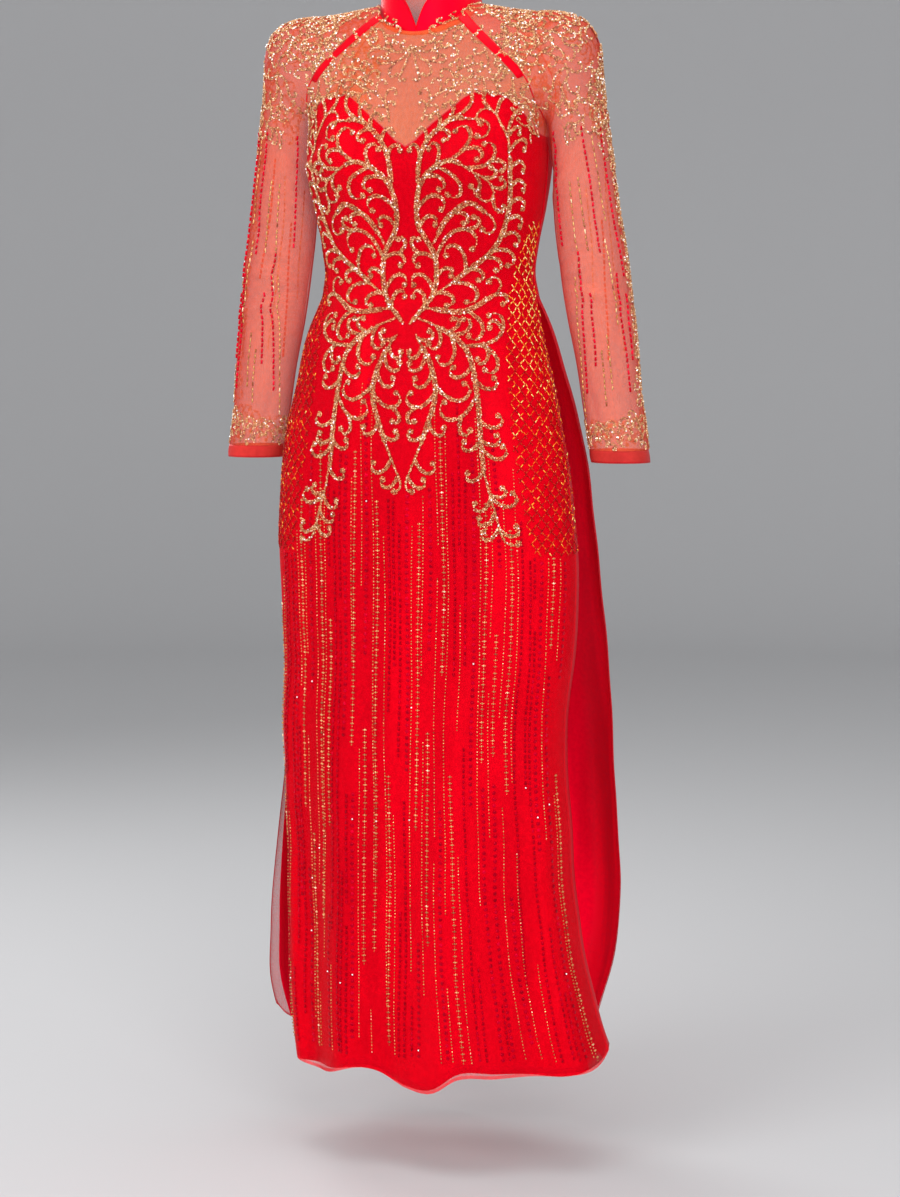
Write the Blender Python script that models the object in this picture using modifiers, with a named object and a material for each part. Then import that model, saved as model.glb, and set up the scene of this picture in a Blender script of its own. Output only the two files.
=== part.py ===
"""Ao dai tunic, worn and hollow, with its sleeves hanging at its sides.

Units are metres, +Z is up, the front faces -Y and the wearer's left is +X. The origin is the centre of the neck
opening, where the shoulders carry the garment. Every cloth piece is a grid of points laid on one smooth figure
surface (neck, shoulders, chest and arms) or on the hanging skirt sections, turned into a wall by Solidify.
"""
from math import pi, radians

import bpy
import numpy as np

# ---- Walls and gaps ---------------------------------------------------------------------------------------------
NET_WALL = 0.0010          # sheer net, doubled by its beading
SATIN_WALL = 0.0012        # opaque base cloth
BAND_WALL = 0.0010         # raglan bands
COLLAR_WALL = 0.0022       # stiffened stand collar
GAP = 0.0003               # clear space between neighbouring pieces
SEAM_SETBACK = 0.0004      # each piece stops this far short of a shared seam line
SATIN_SETBACK = 0.0010     # more for the inner layer, whose walls lean together round the sides
ARMPIT_SETBACK = 0.0022    # and this much further where the raglan seam folds tight at the underarm
ARMPIT_POWER = 1.5         # which comes on this late down the seam
LAYER_STEP = NET_WALL + GAP        # the net lies inside the figure's surface, and the satin inside the net

# ---- Neck, underarm and skirt levels ----------------------------------------------------------------------------
NECK_HALF_WIDTH = 0.061
NECK_HALF_DEPTH = 0.060
NECK_SIDE_Z = 0.002        # height of the neck seam at the sides
NECK_TIP = 0.029           # the seam is this much lower in front and higher behind
NECK_SAG = 0.007           # and front and back both sag by this much
RAGLAN_FRONT = radians(60)     # where the raglan seams leave the neck, measured round from centre front
RAGLAN_BACK = radians(118)
UNDERARM_Z = -0.145
UNDERARM_Y = 0.008
UNDERARM_EASE = 0.06       # the side seams move forward to it over this height
CHEST_LINE_RISE = 0.012    # the yoke's last row runs this far above the base cloth's top edge
SLIT_TOP_Z = -0.350
HEM_MIDDLE_Z = -1.31       # the hems' rough level, for spacing the skirt's rows
CUFF_TOP_Z = -0.5405
CUFF_END_Z = -0.5560
COLLAR_HEIGHT = 0.040
COLLAR_LEAN = 0.10         # the collar's top leans in by this share of its height
COLLAR_TILT = 0.16         # and all of it leans forward by this much
COLLAR_CROWDING = 1.35     # its columns stand closer together towards the notch
COLLAR_CLEARANCE = 1.4     # its foot clears the neck seam by this many net steps
NOTCH_JOIN = 0.0035        # height of the collar where its two ends meet in front
NOTCH_TURN = radians(21)   # how far round each collar end reaches its full height
NOTCH_POWER = 0.85         # shapes the notch's curved edge

# ---- Grid densities ---------------------------------------------------------------------------------------------
PANEL_COLUMNS = 20
YOKE_ROWS = 8
BODICE_ROWS = 7
SKIRT_ROWS = 15
SLEEVE_COLUMNS = 16
SLEEVE_TUBE_ROWS = 8
COLLAR_COLUMNS = 40
RELAX_ROUNDS = 12
CAP_CROWDING = 1.15        # rows above the underarm stand closer together towards it
SKIRT_GROWTH = 1.12        # and skirt rows further apart towards the hem
BAND_WIDTH = 0.014         # the raglan bands lie on the yoke's outer column
BAND_ARC = 1.15            # the yoke's half arc for each metre of its half width
BAND_SHARE = 0.2           # the outer column is never more than this share of it
BAND_ROWS = YOKE_ROWS - 2
BAND_SETBACK = 0.0012
BAND_LIFT = 1.6 * GAP
SLIT_STEP = 0.018          # how far one layer stops short of the other along the open skirt edges
SLIT_EASE = 0.060          # the step opens up over this height below the slit
SKIRT_ARC = 1.35           # a skirt panel's half arc for each metre of its half width

# ---- Tables -----------------------------------------------------------------------------------------------------
# The general figure's chest, from the slits up to the shoulder line.
# power shapes each section: 2 is an ellipse and more is squarer.
CHEST_COLUMNS = ("z", "half_width", "front_depth", "back_depth", "power")
CHEST = np.array([
    (-0.350, 0.1370, 0.092, 0.094, 2.20),
    (-0.325, 0.1330, 0.089, 0.088, 2.20),
    (-0.290, 0.1360, 0.092, 0.087, 2.25),
    (-0.240, 0.1450, 0.100, 0.093, 2.45),
    (-0.190, 0.1500, 0.105, 0.100, 2.90),
    (-0.145, 0.1484, 0.101, 0.104, 2.80),
    (-0.100, 0.1560, 0.091, 0.104, 2.50),
    (-0.070, 0.1630, 0.081, 0.099, 2.40),
    (-0.040, 0.1640, 0.067, 0.088, 2.30),
    (-0.022, 0.1570, 0.056, 0.074, 2.25),
    (-0.010, 0.1350, 0.045, 0.062, 2.25),
    (-0.002, 0.1050, 0.036, 0.050, 2.25),
    (0.004, 0.0700, 0.026, 0.038, 2.25),
])
CUP_PLACE = (0.082, -0.188)    # x and z of each cup's fullest point
CUP_SPREAD = (0.056, 0.054)
CUP_DEPTH = 0.021
NECK_RADIUS = 0.057
NECK_TILT = 0.22
BLEND_NECK = 0.014
BLEND_ARM = 0.042          # the fillet between chest and arm, which fades out towards the underarm
BLEND_FADE = 0.050

# The sleeve's level rings, from the shoulder joint down to the cuff.
ARM_COLUMNS = ("z", "inner_x", "outer_x", "half_depth", "centre_y")
ARM = np.array([
    (-0.062, 0.1180, 0.2140, 0.0480, 0.006),
    (-0.105, 0.1330, 0.2190, 0.0480, 0.007),
    (-0.145, 0.1502, 0.2240, 0.0475, 0.008),
    (-0.190, 0.1545, 0.2300, 0.0460, 0.010),
    (-0.240, 0.1560, 0.2375, 0.0445, 0.012),
    (-0.310, 0.1620, 0.2480, 0.0430, 0.014),
    (-0.383, 0.1740, 0.2570, 0.0410, 0.016),
    (-0.459, 0.1890, 0.2640, 0.0370, 0.018),
    (-0.556, 0.2030, 0.2765, 0.0340, 0.020),
])
CAP_RADIUS = 0.048         # how far the shoulder cap rises above the first ring

# The skirt panels' level sections. left and right are the edges' distances from the middle, edge_y their depth and
# reach how far the middle of the panel stands out from the line between its edges.
SKIRT_COLUMNS = ("z", "left", "right", "edge_y", "reach")
FRONT_SKIRT = np.array([
    (-0.350, 0.1360, 0.1360, 0.000, 0.092),
    (-0.404, 0.1570, 0.1500, -0.005, 0.100),
    (-0.460, 0.1680, 0.1640, -0.010, 0.103),
    (-0.520, 0.1800, 0.1780, -0.016, 0.100),
    (-0.610, 0.1890, 0.1930, -0.022, 0.094),
    (-0.710, 0.1885, 0.1990, -0.024, 0.092),
    (-0.795, 0.1830, 0.1950, -0.024, 0.094),
    (-0.900, 0.1830, 0.1855, -0.024, 0.098),
    (-1.000, 0.1790, 0.1915, -0.024, 0.100),
    (-1.100, 0.1755, 0.1985, -0.024, 0.102),
    (-1.200, 0.1740, 0.2160, -0.024, 0.104),
    (-1.260, 0.1720, 0.2330, -0.024, 0.105),
    (-1.320, 0.1640, 0.2560, -0.024, 0.106),
])
BACK_SKIRT = np.array([
    (-0.350, 0.1360, 0.1360, 0.000, 0.094),
    (-0.404, 0.1570, 0.1570, 0.008, 0.110),
    (-0.450, 0.1680, 0.1680, 0.018, 0.114),
    (-0.500, 0.1800, 0.1810, 0.028, 0.108),
    (-0.560, 0.1880, 0.1930, 0.034, 0.098),
    (-0.630, 0.1940, 0.2010, 0.040, 0.090),
    (-0.720, 0.1980, 0.2095, 0.045, 0.084),
    (-0.830, 0.2050, 0.2187, 0.052, 0.080),
    (-0.990, 0.2200, 0.2282, 0.056, 0.080),
    (-1.100, 0.2330, 0.2330, 0.058, 0.080),
    (-1.180, 0.2400, 0.2280, 0.058, 0.080),
    (-1.240, 0.2410, 0.2120, 0.060, 0.080),
    (-1.320, 0.2230, 0.1900, 0.060, 0.080),
])
SECTION_POWER = 2.2

# The skirts' soft upright folds. place and hem_place run from -1 at the right hand edge seen from behind the cloth
# to 1, spread is the fold's half width in the same measure, depth is its height at the hem (minus is a trough) and
# start_z is where it begins.
FOLD_COLUMNS = ("place", "hem_place", "spread", "depth", "start_z")
FRONT_FOLDS = np.array([
    (-0.80, -0.74, 0.11, 0.011, -0.62),
    (-0.52, -0.50, 0.10, -0.010, -0.78),
    (-0.22, -0.30, 0.11, 0.013, -0.66),
    (-0.02, -0.06, 0.10, -0.012, -0.72),
    (0.20, 0.17, 0.12, 0.014, -0.58),
    (0.42, 0.43, 0.10, -0.014, -0.80),
    (0.66, 0.70, 0.11, 0.012, -0.70),
    (0.92, 0.93, 0.09, -0.009, -0.86),
])
BACK_FOLDS = np.array([
    (-0.86, -0.82, 0.10, -0.010, -0.74),
    (-0.60, -0.58, 0.11, 0.012, -0.64),
    (-0.30, -0.33, 0.12, -0.013, -0.72),
    (0.00, -0.04, 0.12, 0.014, -0.60),
    (0.28, 0.26, 0.10, -0.012, -0.76),
    (0.55, 0.56, 0.12, 0.013, -0.66),
    (0.84, 0.86, 0.10, -0.010, -0.82),
])
FOLD_GROWTH = 0.55         # a fold is full after this height below its start

# Heights across the sweetheart edge, whose place is metres from the middle, and along the hems.
EDGE_COLUMNS = ("place", "z")
SWEETHEART = np.array([
    (0.000, -0.1720), (0.012, -0.1520), (0.026, -0.1370), (0.042, -0.1240), (0.056, -0.1125), (0.071, -0.1065),
    (0.089, -0.1085), (0.106, -0.1135), (0.126, -0.1270), (0.1485, -0.1570),
])
FRONT_HEM = np.array([
    (-1.00, -1.318), (-0.80, -1.314), (-0.45, -1.314), (-0.12, -1.311), (-0.03, -1.323), (0.08, -1.327),
    (0.17, -1.304), (0.30, -1.304), (0.50, -1.309), (0.80, -1.296), (1.00, -1.281),
])
BACK_HEM = np.array([(-1.00, -1.282), (-0.80, -1.304), (0.00, -1.314), (0.50, -1.300), (1.00, -1.266)])
BACK_NECKLINE_Z = (-0.190, -0.157)     # the lining's top edge at centre back and at the sides
BACK_NECKLINE_EASE = 0.6   # share of the half width over which it changes

CLOTH_COLOURS = {
    "satin": (0.78, 0.0, 0.022),
    "net": (0.72, 0.004, 0.012),
    "collar": (0.70, 0.002, 0.010),
}


def smooth_table(table, name, names, at):
    """Reads one named column of a table at the given first-column values, along a smooth curve."""
    order = np.argsort(table[:, 0])
    keys = table[order, 0]
    values = table[order, names.index(name)]
    slopes = np.gradient(values, keys)
    at = np.clip(np.asarray(at, dtype=float), keys[0], keys[-1])
    cell = np.clip(np.searchsorted(keys, at) - 1, 0, len(keys) - 2)
    width = keys[cell + 1] - keys[cell]
    t = (at - keys[cell]) / width
    return ((2 * t**3 - 3 * t**2 + 1) * values[cell] + (t**3 - 2 * t**2 + t) * width * slopes[cell]
            + (3 * t**2 - 2 * t**3) * values[cell + 1] + (t**3 - t**2) * width * slopes[cell + 1])


def smoothstep(low, high, value):
    """Rises smoothly from 0 at low to 1 at high."""
    t = np.clip((value - low) / (high - low), 0.0, 1.0)
    return t * t * (3 - 2 * t)


def signed_power(value, power):
    """Raises the size of a value to a power and keeps its sign."""
    return np.sign(value) * np.abs(value) ** power


def blend_union(first, second, reach):
    """Joins two distance fields with a soft fillet."""
    mix = np.clip(0.5 + 0.5 * (second - first) / reach, 0.0, 1.0)
    return second * (1 - mix) + first * mix - reach * mix * (1 - mix)


# ---- The general figure -----------------------------------------------------------------------------------------
def cup_bump(x, z):
    """How far a bust cup stands out from the chest."""
    across = (np.abs(x) - CUP_PLACE[0]) / CUP_SPREAD[0]
    upward = (z - CUP_PLACE[1]) / CUP_SPREAD[1]
    return CUP_DEPTH * np.exp(-across**2 - upward**2)


def chest_field(points):
    """Roughly the distance outside the chest."""
    x, y, z = points.T
    half = smooth_table(CHEST, "half_width", CHEST_COLUMNS, z)
    front = smooth_table(CHEST, "front_depth", CHEST_COLUMNS, z) + cup_bump(x, z)
    back = smooth_table(CHEST, "back_depth", CHEST_COLUMNS, z)
    depth = np.where(y < 0, front, back)
    power = smooth_table(CHEST, "power", CHEST_COLUMNS, z)
    ratio = (np.abs(x / half) ** power + np.abs(y / depth) ** power) ** (1 / power)
    above = np.maximum(z - CHEST[-1, 0], 0.0)
    return (ratio - 1) * np.minimum(half, depth) + above


def neck_field(points):
    """Distance outside the neck."""
    x, y, z = points.T
    return np.hypot(x, y - NECK_TILT * np.minimum(z, 0.0)) - NECK_RADIUS


def arm_field(points, side):
    """Roughly the distance outside one upper arm, with its round shoulder cap."""
    x, y, z = points.T
    x = x * side
    level = np.minimum(z, ARM[0, 0])
    inner = smooth_table(ARM, "inner_x", ARM_COLUMNS, level)
    outer = smooth_table(ARM, "outer_x", ARM_COLUMNS, level)
    deep = smooth_table(ARM, "half_depth", ARM_COLUMNS, level)
    middle_y = smooth_table(ARM, "centre_y", ARM_COLUMNS, level)
    half = (outer - inner) / 2
    rise = np.maximum(z - ARM[0, 0], 0.0)
    ratio = np.sqrt(((x - (outer + inner) / 2) / half) ** 2 + ((y - middle_y) / deep) ** 2 + (rise / CAP_RADIUS) ** 2)
    return (ratio - 1) * half


def figure_field(points):
    """The whole upper figure as one smooth field: below zero inside."""
    body = blend_union(chest_field(points), neck_field(points), BLEND_NECK)
    fillet = BLEND_ARM * smoothstep(UNDERARM_Z, UNDERARM_Z + BLEND_FADE, points[:, 2]) + 1e-4
    for side in (1, -1):
        body = blend_union(body, arm_field(points, side), fillet)
    return body


def settle(points, field=figure_field, rounds=14):
    """Moves points along the field's slope until they lie on its surface."""
    points = np.array(points, dtype=float)
    shape = points.shape
    points = points.reshape(-1, 3)
    probe = 1e-4
    for _ in range(rounds):
        value = field(points)
        slope = np.stack([(field(points + probe * axis) - field(points - probe * axis)) / (2 * probe)
                          for axis in np.eye(3)], axis=1)
        length = np.maximum((slope**2).sum(axis=1), 0.09)
        points = points - np.clip(value / length, -0.02, 0.02)[:, None] * slope
    return points.reshape(shape)


def neck_ring(angle):
    """The neck seam, at angles measured round from centre front towards +X."""
    angle = np.asarray(angle, dtype=float)
    height = NECK_SIDE_Z - NECK_TIP * np.cos(angle) - NECK_SAG * np.cos(angle) ** 2
    return np.stack([NECK_HALF_WIDTH * np.sin(angle), -NECK_HALF_DEPTH * np.cos(angle), height], axis=-1)


def bezier(start, control, end, t):
    """A curve through start and end, drawn towards one control point."""
    t = np.asarray(t, dtype=float)[..., None]
    return (1 - t)**2 * start + 2 * t * (1 - t) * control + t**2 * end


# ---- Sleeves ----------------------------------------------------------------------------------------------------
CAP_CONTROL = {"front": (0.104, -0.085, -0.045), "top": (0.198, 0.008, 0.012), "back": (0.124, 0.100, -0.030)}


def arm_ring(turn, z):
    """A level ring of the sleeve: turn runs from 0 at the underarm through the front and the outside to 1."""
    turn, z = np.broadcast_arrays(np.asarray(turn, dtype=float), np.asarray(z, dtype=float))
    inner = smooth_table(ARM, "inner_x", ARM_COLUMNS, z)
    outer = smooth_table(ARM, "outer_x", ARM_COLUMNS, z)
    deep = smooth_table(ARM, "half_depth", ARM_COLUMNS, z)
    middle_y = smooth_table(ARM, "centre_y", ARM_COLUMNS, z)
    angle = 2 * pi * turn
    return np.stack([(inner + outer) / 2 - (outer - inner) / 2 * np.cos(angle), middle_y - deep * np.sin(angle), z],
                    axis=-1)


def sleeve_cap(turn, down):
    """The sleeve above the underarm: down runs from 0 at the neck seam to 1 at the underarm."""
    turn, down = np.broadcast_arrays(np.asarray(turn, dtype=float), np.asarray(down, dtype=float))
    start = neck_ring(RAGLAN_FRONT + (RAGLAN_BACK - RAGLAN_FRONT) * turn)
    end = arm_ring(turn, UNDERARM_Z)
    front, top, back = (np.array(CAP_CONTROL[key]) for key in ("front", "top", "back"))
    share = np.sin(pi * turn)[..., None]
    across = turn[..., None]
    control = (front * (1 - across) + back * across) * (1 - share) + top * share
    return settle(bezier(start, control, end, down))


def cap_steps():
    """The rows between the neck seam and the underarm, closer together at the underarm."""
    return 1 - (1 - np.arange(YOKE_ROWS) / YOKE_ROWS) ** CAP_CROWDING


def sleeve_grid():
    """Points of the +X sleeve, rows from the neck to the cuff."""
    turn = np.linspace(0, 1, SLEEVE_COLUMNS + 1)
    rows = [sleeve_cap(turn, down) for down in cap_steps()]
    levels = np.linspace(UNDERARM_Z, CUFF_TOP_Z, SLEEVE_TUBE_ROWS + 1)
    rows += [arm_ring(turn, level) for level in levels]
    return np.array(rows)


# ---- Front and back panels --------------------------------------------------------------------------------------
def raglan_seam(down, back=False):
    """The seam between a panel and the +X sleeve."""
    return sleeve_cap(1.0 if back else 0.0, down)


def section_point(turn, half_left, half_right, edge_y, reach, sign, power):
    """A point on a panel's level section: turn runs from -1 to 1 between its edges."""
    angle = turn * pi / 2
    half = np.where(turn < 0, half_left, half_right)
    x = half * signed_power(np.sin(angle), 2 / power)
    y = edge_y + sign * reach * np.abs(np.cos(angle)) ** (2 / power)
    return x, y


class Panel:
    """The front or the back: yoke rows, bodice rows and skirt rows of one grid."""

    def __init__(self, back):
        self.back = back
        self.sign = 1 if back else -1
        self.skirt = BACK_SKIRT if back else FRONT_SKIRT
        self.folds = BACK_FOLDS if back else FRONT_FOLDS
        self.hem = BACK_HEM if back else FRONT_HEM

    def edge_z(self, turn):
        """The height of the base cloth's top edge, from underarm to underarm."""
        if self.back:
            middle, side = BACK_NECKLINE_Z
            return side + (middle - side) * smoothstep(0.0, BACK_NECKLINE_EASE, 1 - np.abs(turn))
        x = smooth_table(CHEST, "half_width", CHEST_COLUMNS, UNDERARM_Z) * np.abs(np.sin(turn * pi / 2))
        return smooth_table(SWEETHEART, "z", EDGE_COLUMNS, x)

    def yoke(self, turn, down):
        """The sheer yoke between the neck seam and the top edge."""
        seam = raglan_seam(down, self.back)
        mirror = np.array([-1, 1, 1])
        limit = RAGLAN_BACK if self.back else RAGLAN_FRONT
        angle = pi - (pi - limit) * turn if self.back else limit * turn
        ring = neck_ring(angle)
        edge = self.section(turn, self.edge_z(turn) + CHEST_LINE_RISE)
        rows = ring * (1 - down) + edge * down
        bulge = seam - rows[-1]
        weight = (turn ** 2)[:, None]
        side = np.where(turn[:, None] < 0, mirror, 1)
        return settle(rows + bulge * side * weight)

    def section(self, turn, z):
        """A point of the bodice or skirt at any height below the underarm."""
        turn, z = np.broadcast_arrays(np.asarray(turn, dtype=float), np.asarray(z, dtype=float))
        depth_name = "back_depth" if self.back else "front_depth"
        half = smooth_table(CHEST, "half_width", CHEST_COLUMNS, z)
        reach = smooth_table(CHEST, depth_name, CHEST_COLUMNS, z)
        power = smooth_table(CHEST, "power", CHEST_COLUMNS, z)
        upper_x, upper_y = section_point(turn, half, half, 0.0, reach, self.sign, power)
        if not self.back:
            upper_y = upper_y - cup_bump(upper_x, z) * np.abs(np.cos(turn * pi / 2)) ** 0.5
        upper_y = upper_y + UNDERARM_Y * smoothstep(UNDERARM_Z - UNDERARM_EASE, UNDERARM_Z, z) * np.abs(turn) ** 6
        values = [smooth_table(self.skirt, name, SKIRT_COLUMNS, z) for name in SKIRT_COLUMNS[1:]]
        lower_x, lower_y = section_point(turn, *values, self.sign, SECTION_POWER)
        low = z < SLIT_TOP_Z
        x = np.where(low, lower_x, upper_x)
        y = np.where(low, lower_y + self.sign * self.fold_height(turn, z), upper_y)
        points = np.stack([x, y, z], axis=-1)
        high = z > UNDERARM_Z + 1e-6
        if high.any():
            points[high] = settle(points[high])
        return points

    def fold_height(self, turn, z):
        """How far the folds stand out from the skirt at a place and height."""
        height = np.zeros_like(z)
        hem = smooth_table(self.hem, "z", EDGE_COLUMNS, turn)
        for place, hem_place, spread, depth, start_z in self.folds:
            along = np.clip((start_z - z) / (start_z - hem), 0, 1)
            middle = place + (hem_place - place) * along
            rise = smoothstep(0.0, FOLD_GROWTH, start_z - z)
            height = height + depth * rise * np.exp(-((turn - middle) / spread) ** 2)
        return height

    def layer_share(self, z):
        """How much of the half width the narrower layer keeps at a height."""
        half = (smooth_table(self.skirt, "left", SKIRT_COLUMNS, z)
                + smooth_table(self.skirt, "right", SKIRT_COLUMNS, z)) / 2
        return 1 - SLIT_STEP / (half * SKIRT_ARC) * smoothstep(0.0, SLIT_EASE, SLIT_TOP_Z - z)

    def relax(self, rows):
        """Evens out the yoke's points between its seams, all the while keeping them on the figure."""
        inner = rows[:, 1:-1].copy()
        free = np.zeros(inner.shape[:2], dtype=bool)
        free[1:-1, 1:-1] = True
        free[:BAND_ROWS + 1, 1] = False
        free[:BAND_ROWS + 1, -2] = False
        for _ in range(RELAX_ROUNDS):
            middle = (np.roll(inner, 1, axis=0) + np.roll(inner, -1, axis=0)
                      + np.roll(inner, 1, axis=1) + np.roll(inner, -1, axis=1)) / 4
            inner[free] = settle(middle[free], rounds=3)
        return np.concatenate([inner[:, :1], inner, inner[:, -1:]], axis=1)

    def grid(self):
        """Rows of points, and for each row the first and last column of the narrow layer.

        Columns 0 and PANEL_COLUMNS + 2 exist only in the skirt. Above it they repeat their neighbours.
        """
        even = np.linspace(-1, 1, PANEL_COLUMNS + 1)
        rows = []
        for down in cap_steps():
            reach = np.abs(raglan_seam(down, self.back)[0]) * BAND_ARC
            inner = 1 - min(BAND_WIDTH / reach, BAND_SHARE)
            turn = np.concatenate([[-1], np.linspace(-inner, inner, PANEL_COLUMNS - 1), [1]])
            points = self.yoke(turn, down)
            rows.append(np.vstack([points[:1], points, points[-1:]]))
        for rise in (CHEST_LINE_RISE, 0.0):
            points = self.section(even, self.edge_z(even) + rise)
            rows.append(np.vstack([points[:1], points, points[-1:]]))
        rows = list(self.relax(np.array(rows)))
        top = rows[-1][1:-1]
        for share in np.linspace(0, 1, BODICE_ROWS + 1)[1:]:
            z = top[:, 2] * (1 - share) + SLIT_TOP_Z * share
            points = self.section(even, z)
            rows.append(np.vstack([points[:1], points, points[-1:]]))
        for share in np.linspace(0, 1, SKIRT_ROWS + 1)[1:]:
            share = share ** SKIRT_GROWTH
            z_middle = SLIT_TOP_Z + share * (HEM_MIDDLE_Z - SLIT_TOP_Z)
            keep = self.layer_share(z_middle)
            turn = np.concatenate([[-1], even * keep, [1]])
            z = SLIT_TOP_Z + share * (smooth_table(self.hem, "z", EDGE_COLUMNS, turn) - SLIT_TOP_Z)
            rows.append(self.section(turn, z))
        return np.array(rows)


def grid_normals(grid):
    """Outward unit normals of a grid whose columns run from -X to +X in front."""
    down = np.gradient(grid, axis=0)
    across = np.gradient(grid, axis=1)
    normal = np.cross(down, across)
    length = np.linalg.norm(normal, axis=2, keepdims=True)
    return normal / np.maximum(length, 1e-12)


def set_back(grid, amount, sides=True, top=True, bottom=True, raglan_rows=0):
    """Pulls a grid's border in along its own surface, to leave a seam gap.

    The gap grows down the first raglan_rows rows, where the cloth on each side folds tight together.
    """
    result = grid.copy()
    share = np.clip(np.arange(len(grid)) / max(raglan_rows, 1), 0, 1) ** ARMPIT_POWER
    side_amount = amount + ARMPIT_SETBACK * share * (np.arange(len(grid)) <= raglan_rows - 1)

    def pull(border, neighbour, by=amount):
        step = neighbour - border
        length = np.linalg.norm(step, axis=-1, keepdims=True)
        return border + step / np.maximum(length, 1e-9) * np.reshape(by, (-1, 1))

    if sides:
        result[:, 0] = pull(result[:, 0], result[:, 1], side_amount)
        result[:, -1] = pull(result[:, -1], result[:, -2], side_amount)
    if top:
        result[0] = pull(result[0], result[1])
    if bottom:
        result[-1] = pull(result[-1], result[-2])
    return result


# ---- Objects ----------------------------------------------------------------------------------------------------
def cloth_material(name, colour, roughness):
    """A plain woven cloth."""
    material = bpy.data.materials.new(name)
    material.use_nodes = True
    shader = material.node_tree.nodes["Principled BSDF"]
    shader.inputs["Base Color"].default_value = (*colour, 1.0)
    shader.inputs["Roughness"].default_value = roughness
    return material


def wall_object(name, grid, keys, wall, material, collection, flip=False, grow=-1.0):
    """Makes a named cloth piece: grid cells become faces, and Solidify gives them their thickness.

    keys holds one number for each grid point, and points with the same number are one vertex. A cell whose
    corners fall together becomes a triangle or is left out. grow is -1 for a wall inside the grid's surface,
    1 for one outside it and 0 for one on both sides.
    """
    numbers, first = np.unique(keys, return_index=True)
    lookup = {number: index for index, number in enumerate(numbers)}
    vertices = grid.reshape(-1, 3)[first]
    faces = []
    for row in range(keys.shape[0] - 1):
        for column in range(keys.shape[1] - 1):
            corners = [keys[row, column], keys[row, column + 1], keys[row + 1, column + 1], keys[row + 1, column]]
            if min(corners) < 0:
                continue
            loop = []
            for corner in corners:
                if lookup[corner] not in loop:
                    loop.append(lookup[corner])
            if len(loop) > 2:
                faces.append(loop[::-1] if flip else loop)
    used = sorted({index for face in faces for index in face})
    renumber = {old: new for new, old in enumerate(used)}
    mesh = bpy.data.meshes.new(name)
    mesh.from_pydata([tuple(vertices[index]) for index in used], [],
                     [[renumber[index] for index in face] for face in faces])
    mesh.validate()
    mesh.materials.append(material)
    mesh.shade_smooth()
    piece = bpy.data.objects.new(name, mesh)
    collection.objects.link(piece)
    solid = piece.modifiers.new("wall", "SOLIDIFY")
    solid.thickness = wall
    solid.offset = grow
    return piece


def grid_keys(shape, closed_from=None, narrow_rows=None):
    """Numbers a grid's points, joining the two side columns of closed rows."""
    keys = np.arange(shape[0] * shape[1]).reshape(shape[:2])
    if closed_from is not None:
        keys[closed_from:, -1] = keys[closed_from:, 0]
    if narrow_rows is not None:
        keys[:narrow_rows, 0] = keys[:narrow_rows, 1]
        keys[:narrow_rows, -1] = keys[:narrow_rows, -2]
    return keys


def panel_layers(back, materials, collection):
    """Builds the outer net and the inner satin of the front or the back."""
    panel = Panel(back)
    grid = panel.grid()
    inner = grid[:, 1:-1]
    top_row = YOKE_ROWS + 1
    slit_row = top_row + BODICE_ROWS
    normals = grid_normals(inner)
    if back:
        normals = -normals
    wide_normals = np.concatenate([normals[:, :1], normals, normals[:, -1:]], axis=1)
    satin_full = grid - wide_normals * LAYER_STEP
    name = "back" if back else "front"
    if back:
        net_points, satin_points = grid, satin_full[:, 1:-1]
    else:
        net_points, satin_points = inner, satin_full
    net_wide, satin_wide = back, not back
    net = set_back(net_points, SEAM_SETBACK, bottom=False, raglan_rows=YOKE_ROWS)
    satin = set_back(satin_points[top_row:], SATIN_SETBACK, top=False, bottom=False)
    net_keys = grid_keys(net.shape, narrow_rows=slit_row + 1 if net_wide else None)
    satin_keys = grid_keys(satin.shape, narrow_rows=slit_row + 1 - top_row if satin_wide else None)
    wall_object(name + "_mesh", net, net_keys, NET_WALL, materials["net"], collection, flip=not back)
    wall_object(name + "_satin", satin, satin_keys, SATIN_WALL, materials["satin"], collection, flip=not back)
    return grid, normals


def raglan_bands(grid, normals, materials, collection):
    """Two satin strips on the front yoke's outermost columns."""
    for name, columns in (("raglan_band_left", slice(-2, None)), ("raglan_band_right", slice(0, 2))):
        rows = slice(0, BAND_ROWS)
        strip = grid[rows, 1:-1][:, columns] + normals[rows][:, columns] * BAND_LIFT
        strip = set_back(strip, BAND_SETBACK, bottom=False)
        wall_object(name, strip, grid_keys(strip.shape), BAND_WALL, materials["satin"], collection, flip=True, grow=1.0)


def sleeves(materials, collection):
    """Both sleeves and their cuff hems."""
    grid = sleeve_grid()
    turn = np.linspace(0, 1, SLEEVE_COLUMNS + 1)
    cuff = np.array([arm_ring(turn, level) for level in (CUFF_TOP_Z, (CUFF_TOP_Z + CUFF_END_Z) / 2, CUFF_END_Z)])
    for side, name in ((1, "left"), (-1, "right")):
        mirror = np.array([side, 1, 1])
        cap = set_back(grid, SEAM_SETBACK, sides=False)
        cap[:YOKE_ROWS] = set_back(cap[:YOKE_ROWS], SEAM_SETBACK, top=False, bottom=False, raglan_rows=YOKE_ROWS)
        keys = grid_keys(cap.shape, closed_from=YOKE_ROWS)
        wall_object("sleeve_" + name, cap * mirror, keys, NET_WALL, materials["net"], collection, flip=side > 0)
        keys = grid_keys(cuff.shape, closed_from=0)
        band = set_back(cuff, SEAM_SETBACK, sides=False, bottom=False)
        wall_object("cuff_" + name, band * mirror, keys, SATIN_WALL, materials["satin"], collection, flip=side > 0)


def collar_height(angle):
    """The collar's height at an angle round from centre front, notched in front."""
    share = np.clip(np.abs(angle) / NOTCH_TURN, 0, 1)
    return NOTCH_JOIN + (COLLAR_HEIGHT - NOTCH_JOIN) * np.sin(share * pi / 2) ** NOTCH_POWER


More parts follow.
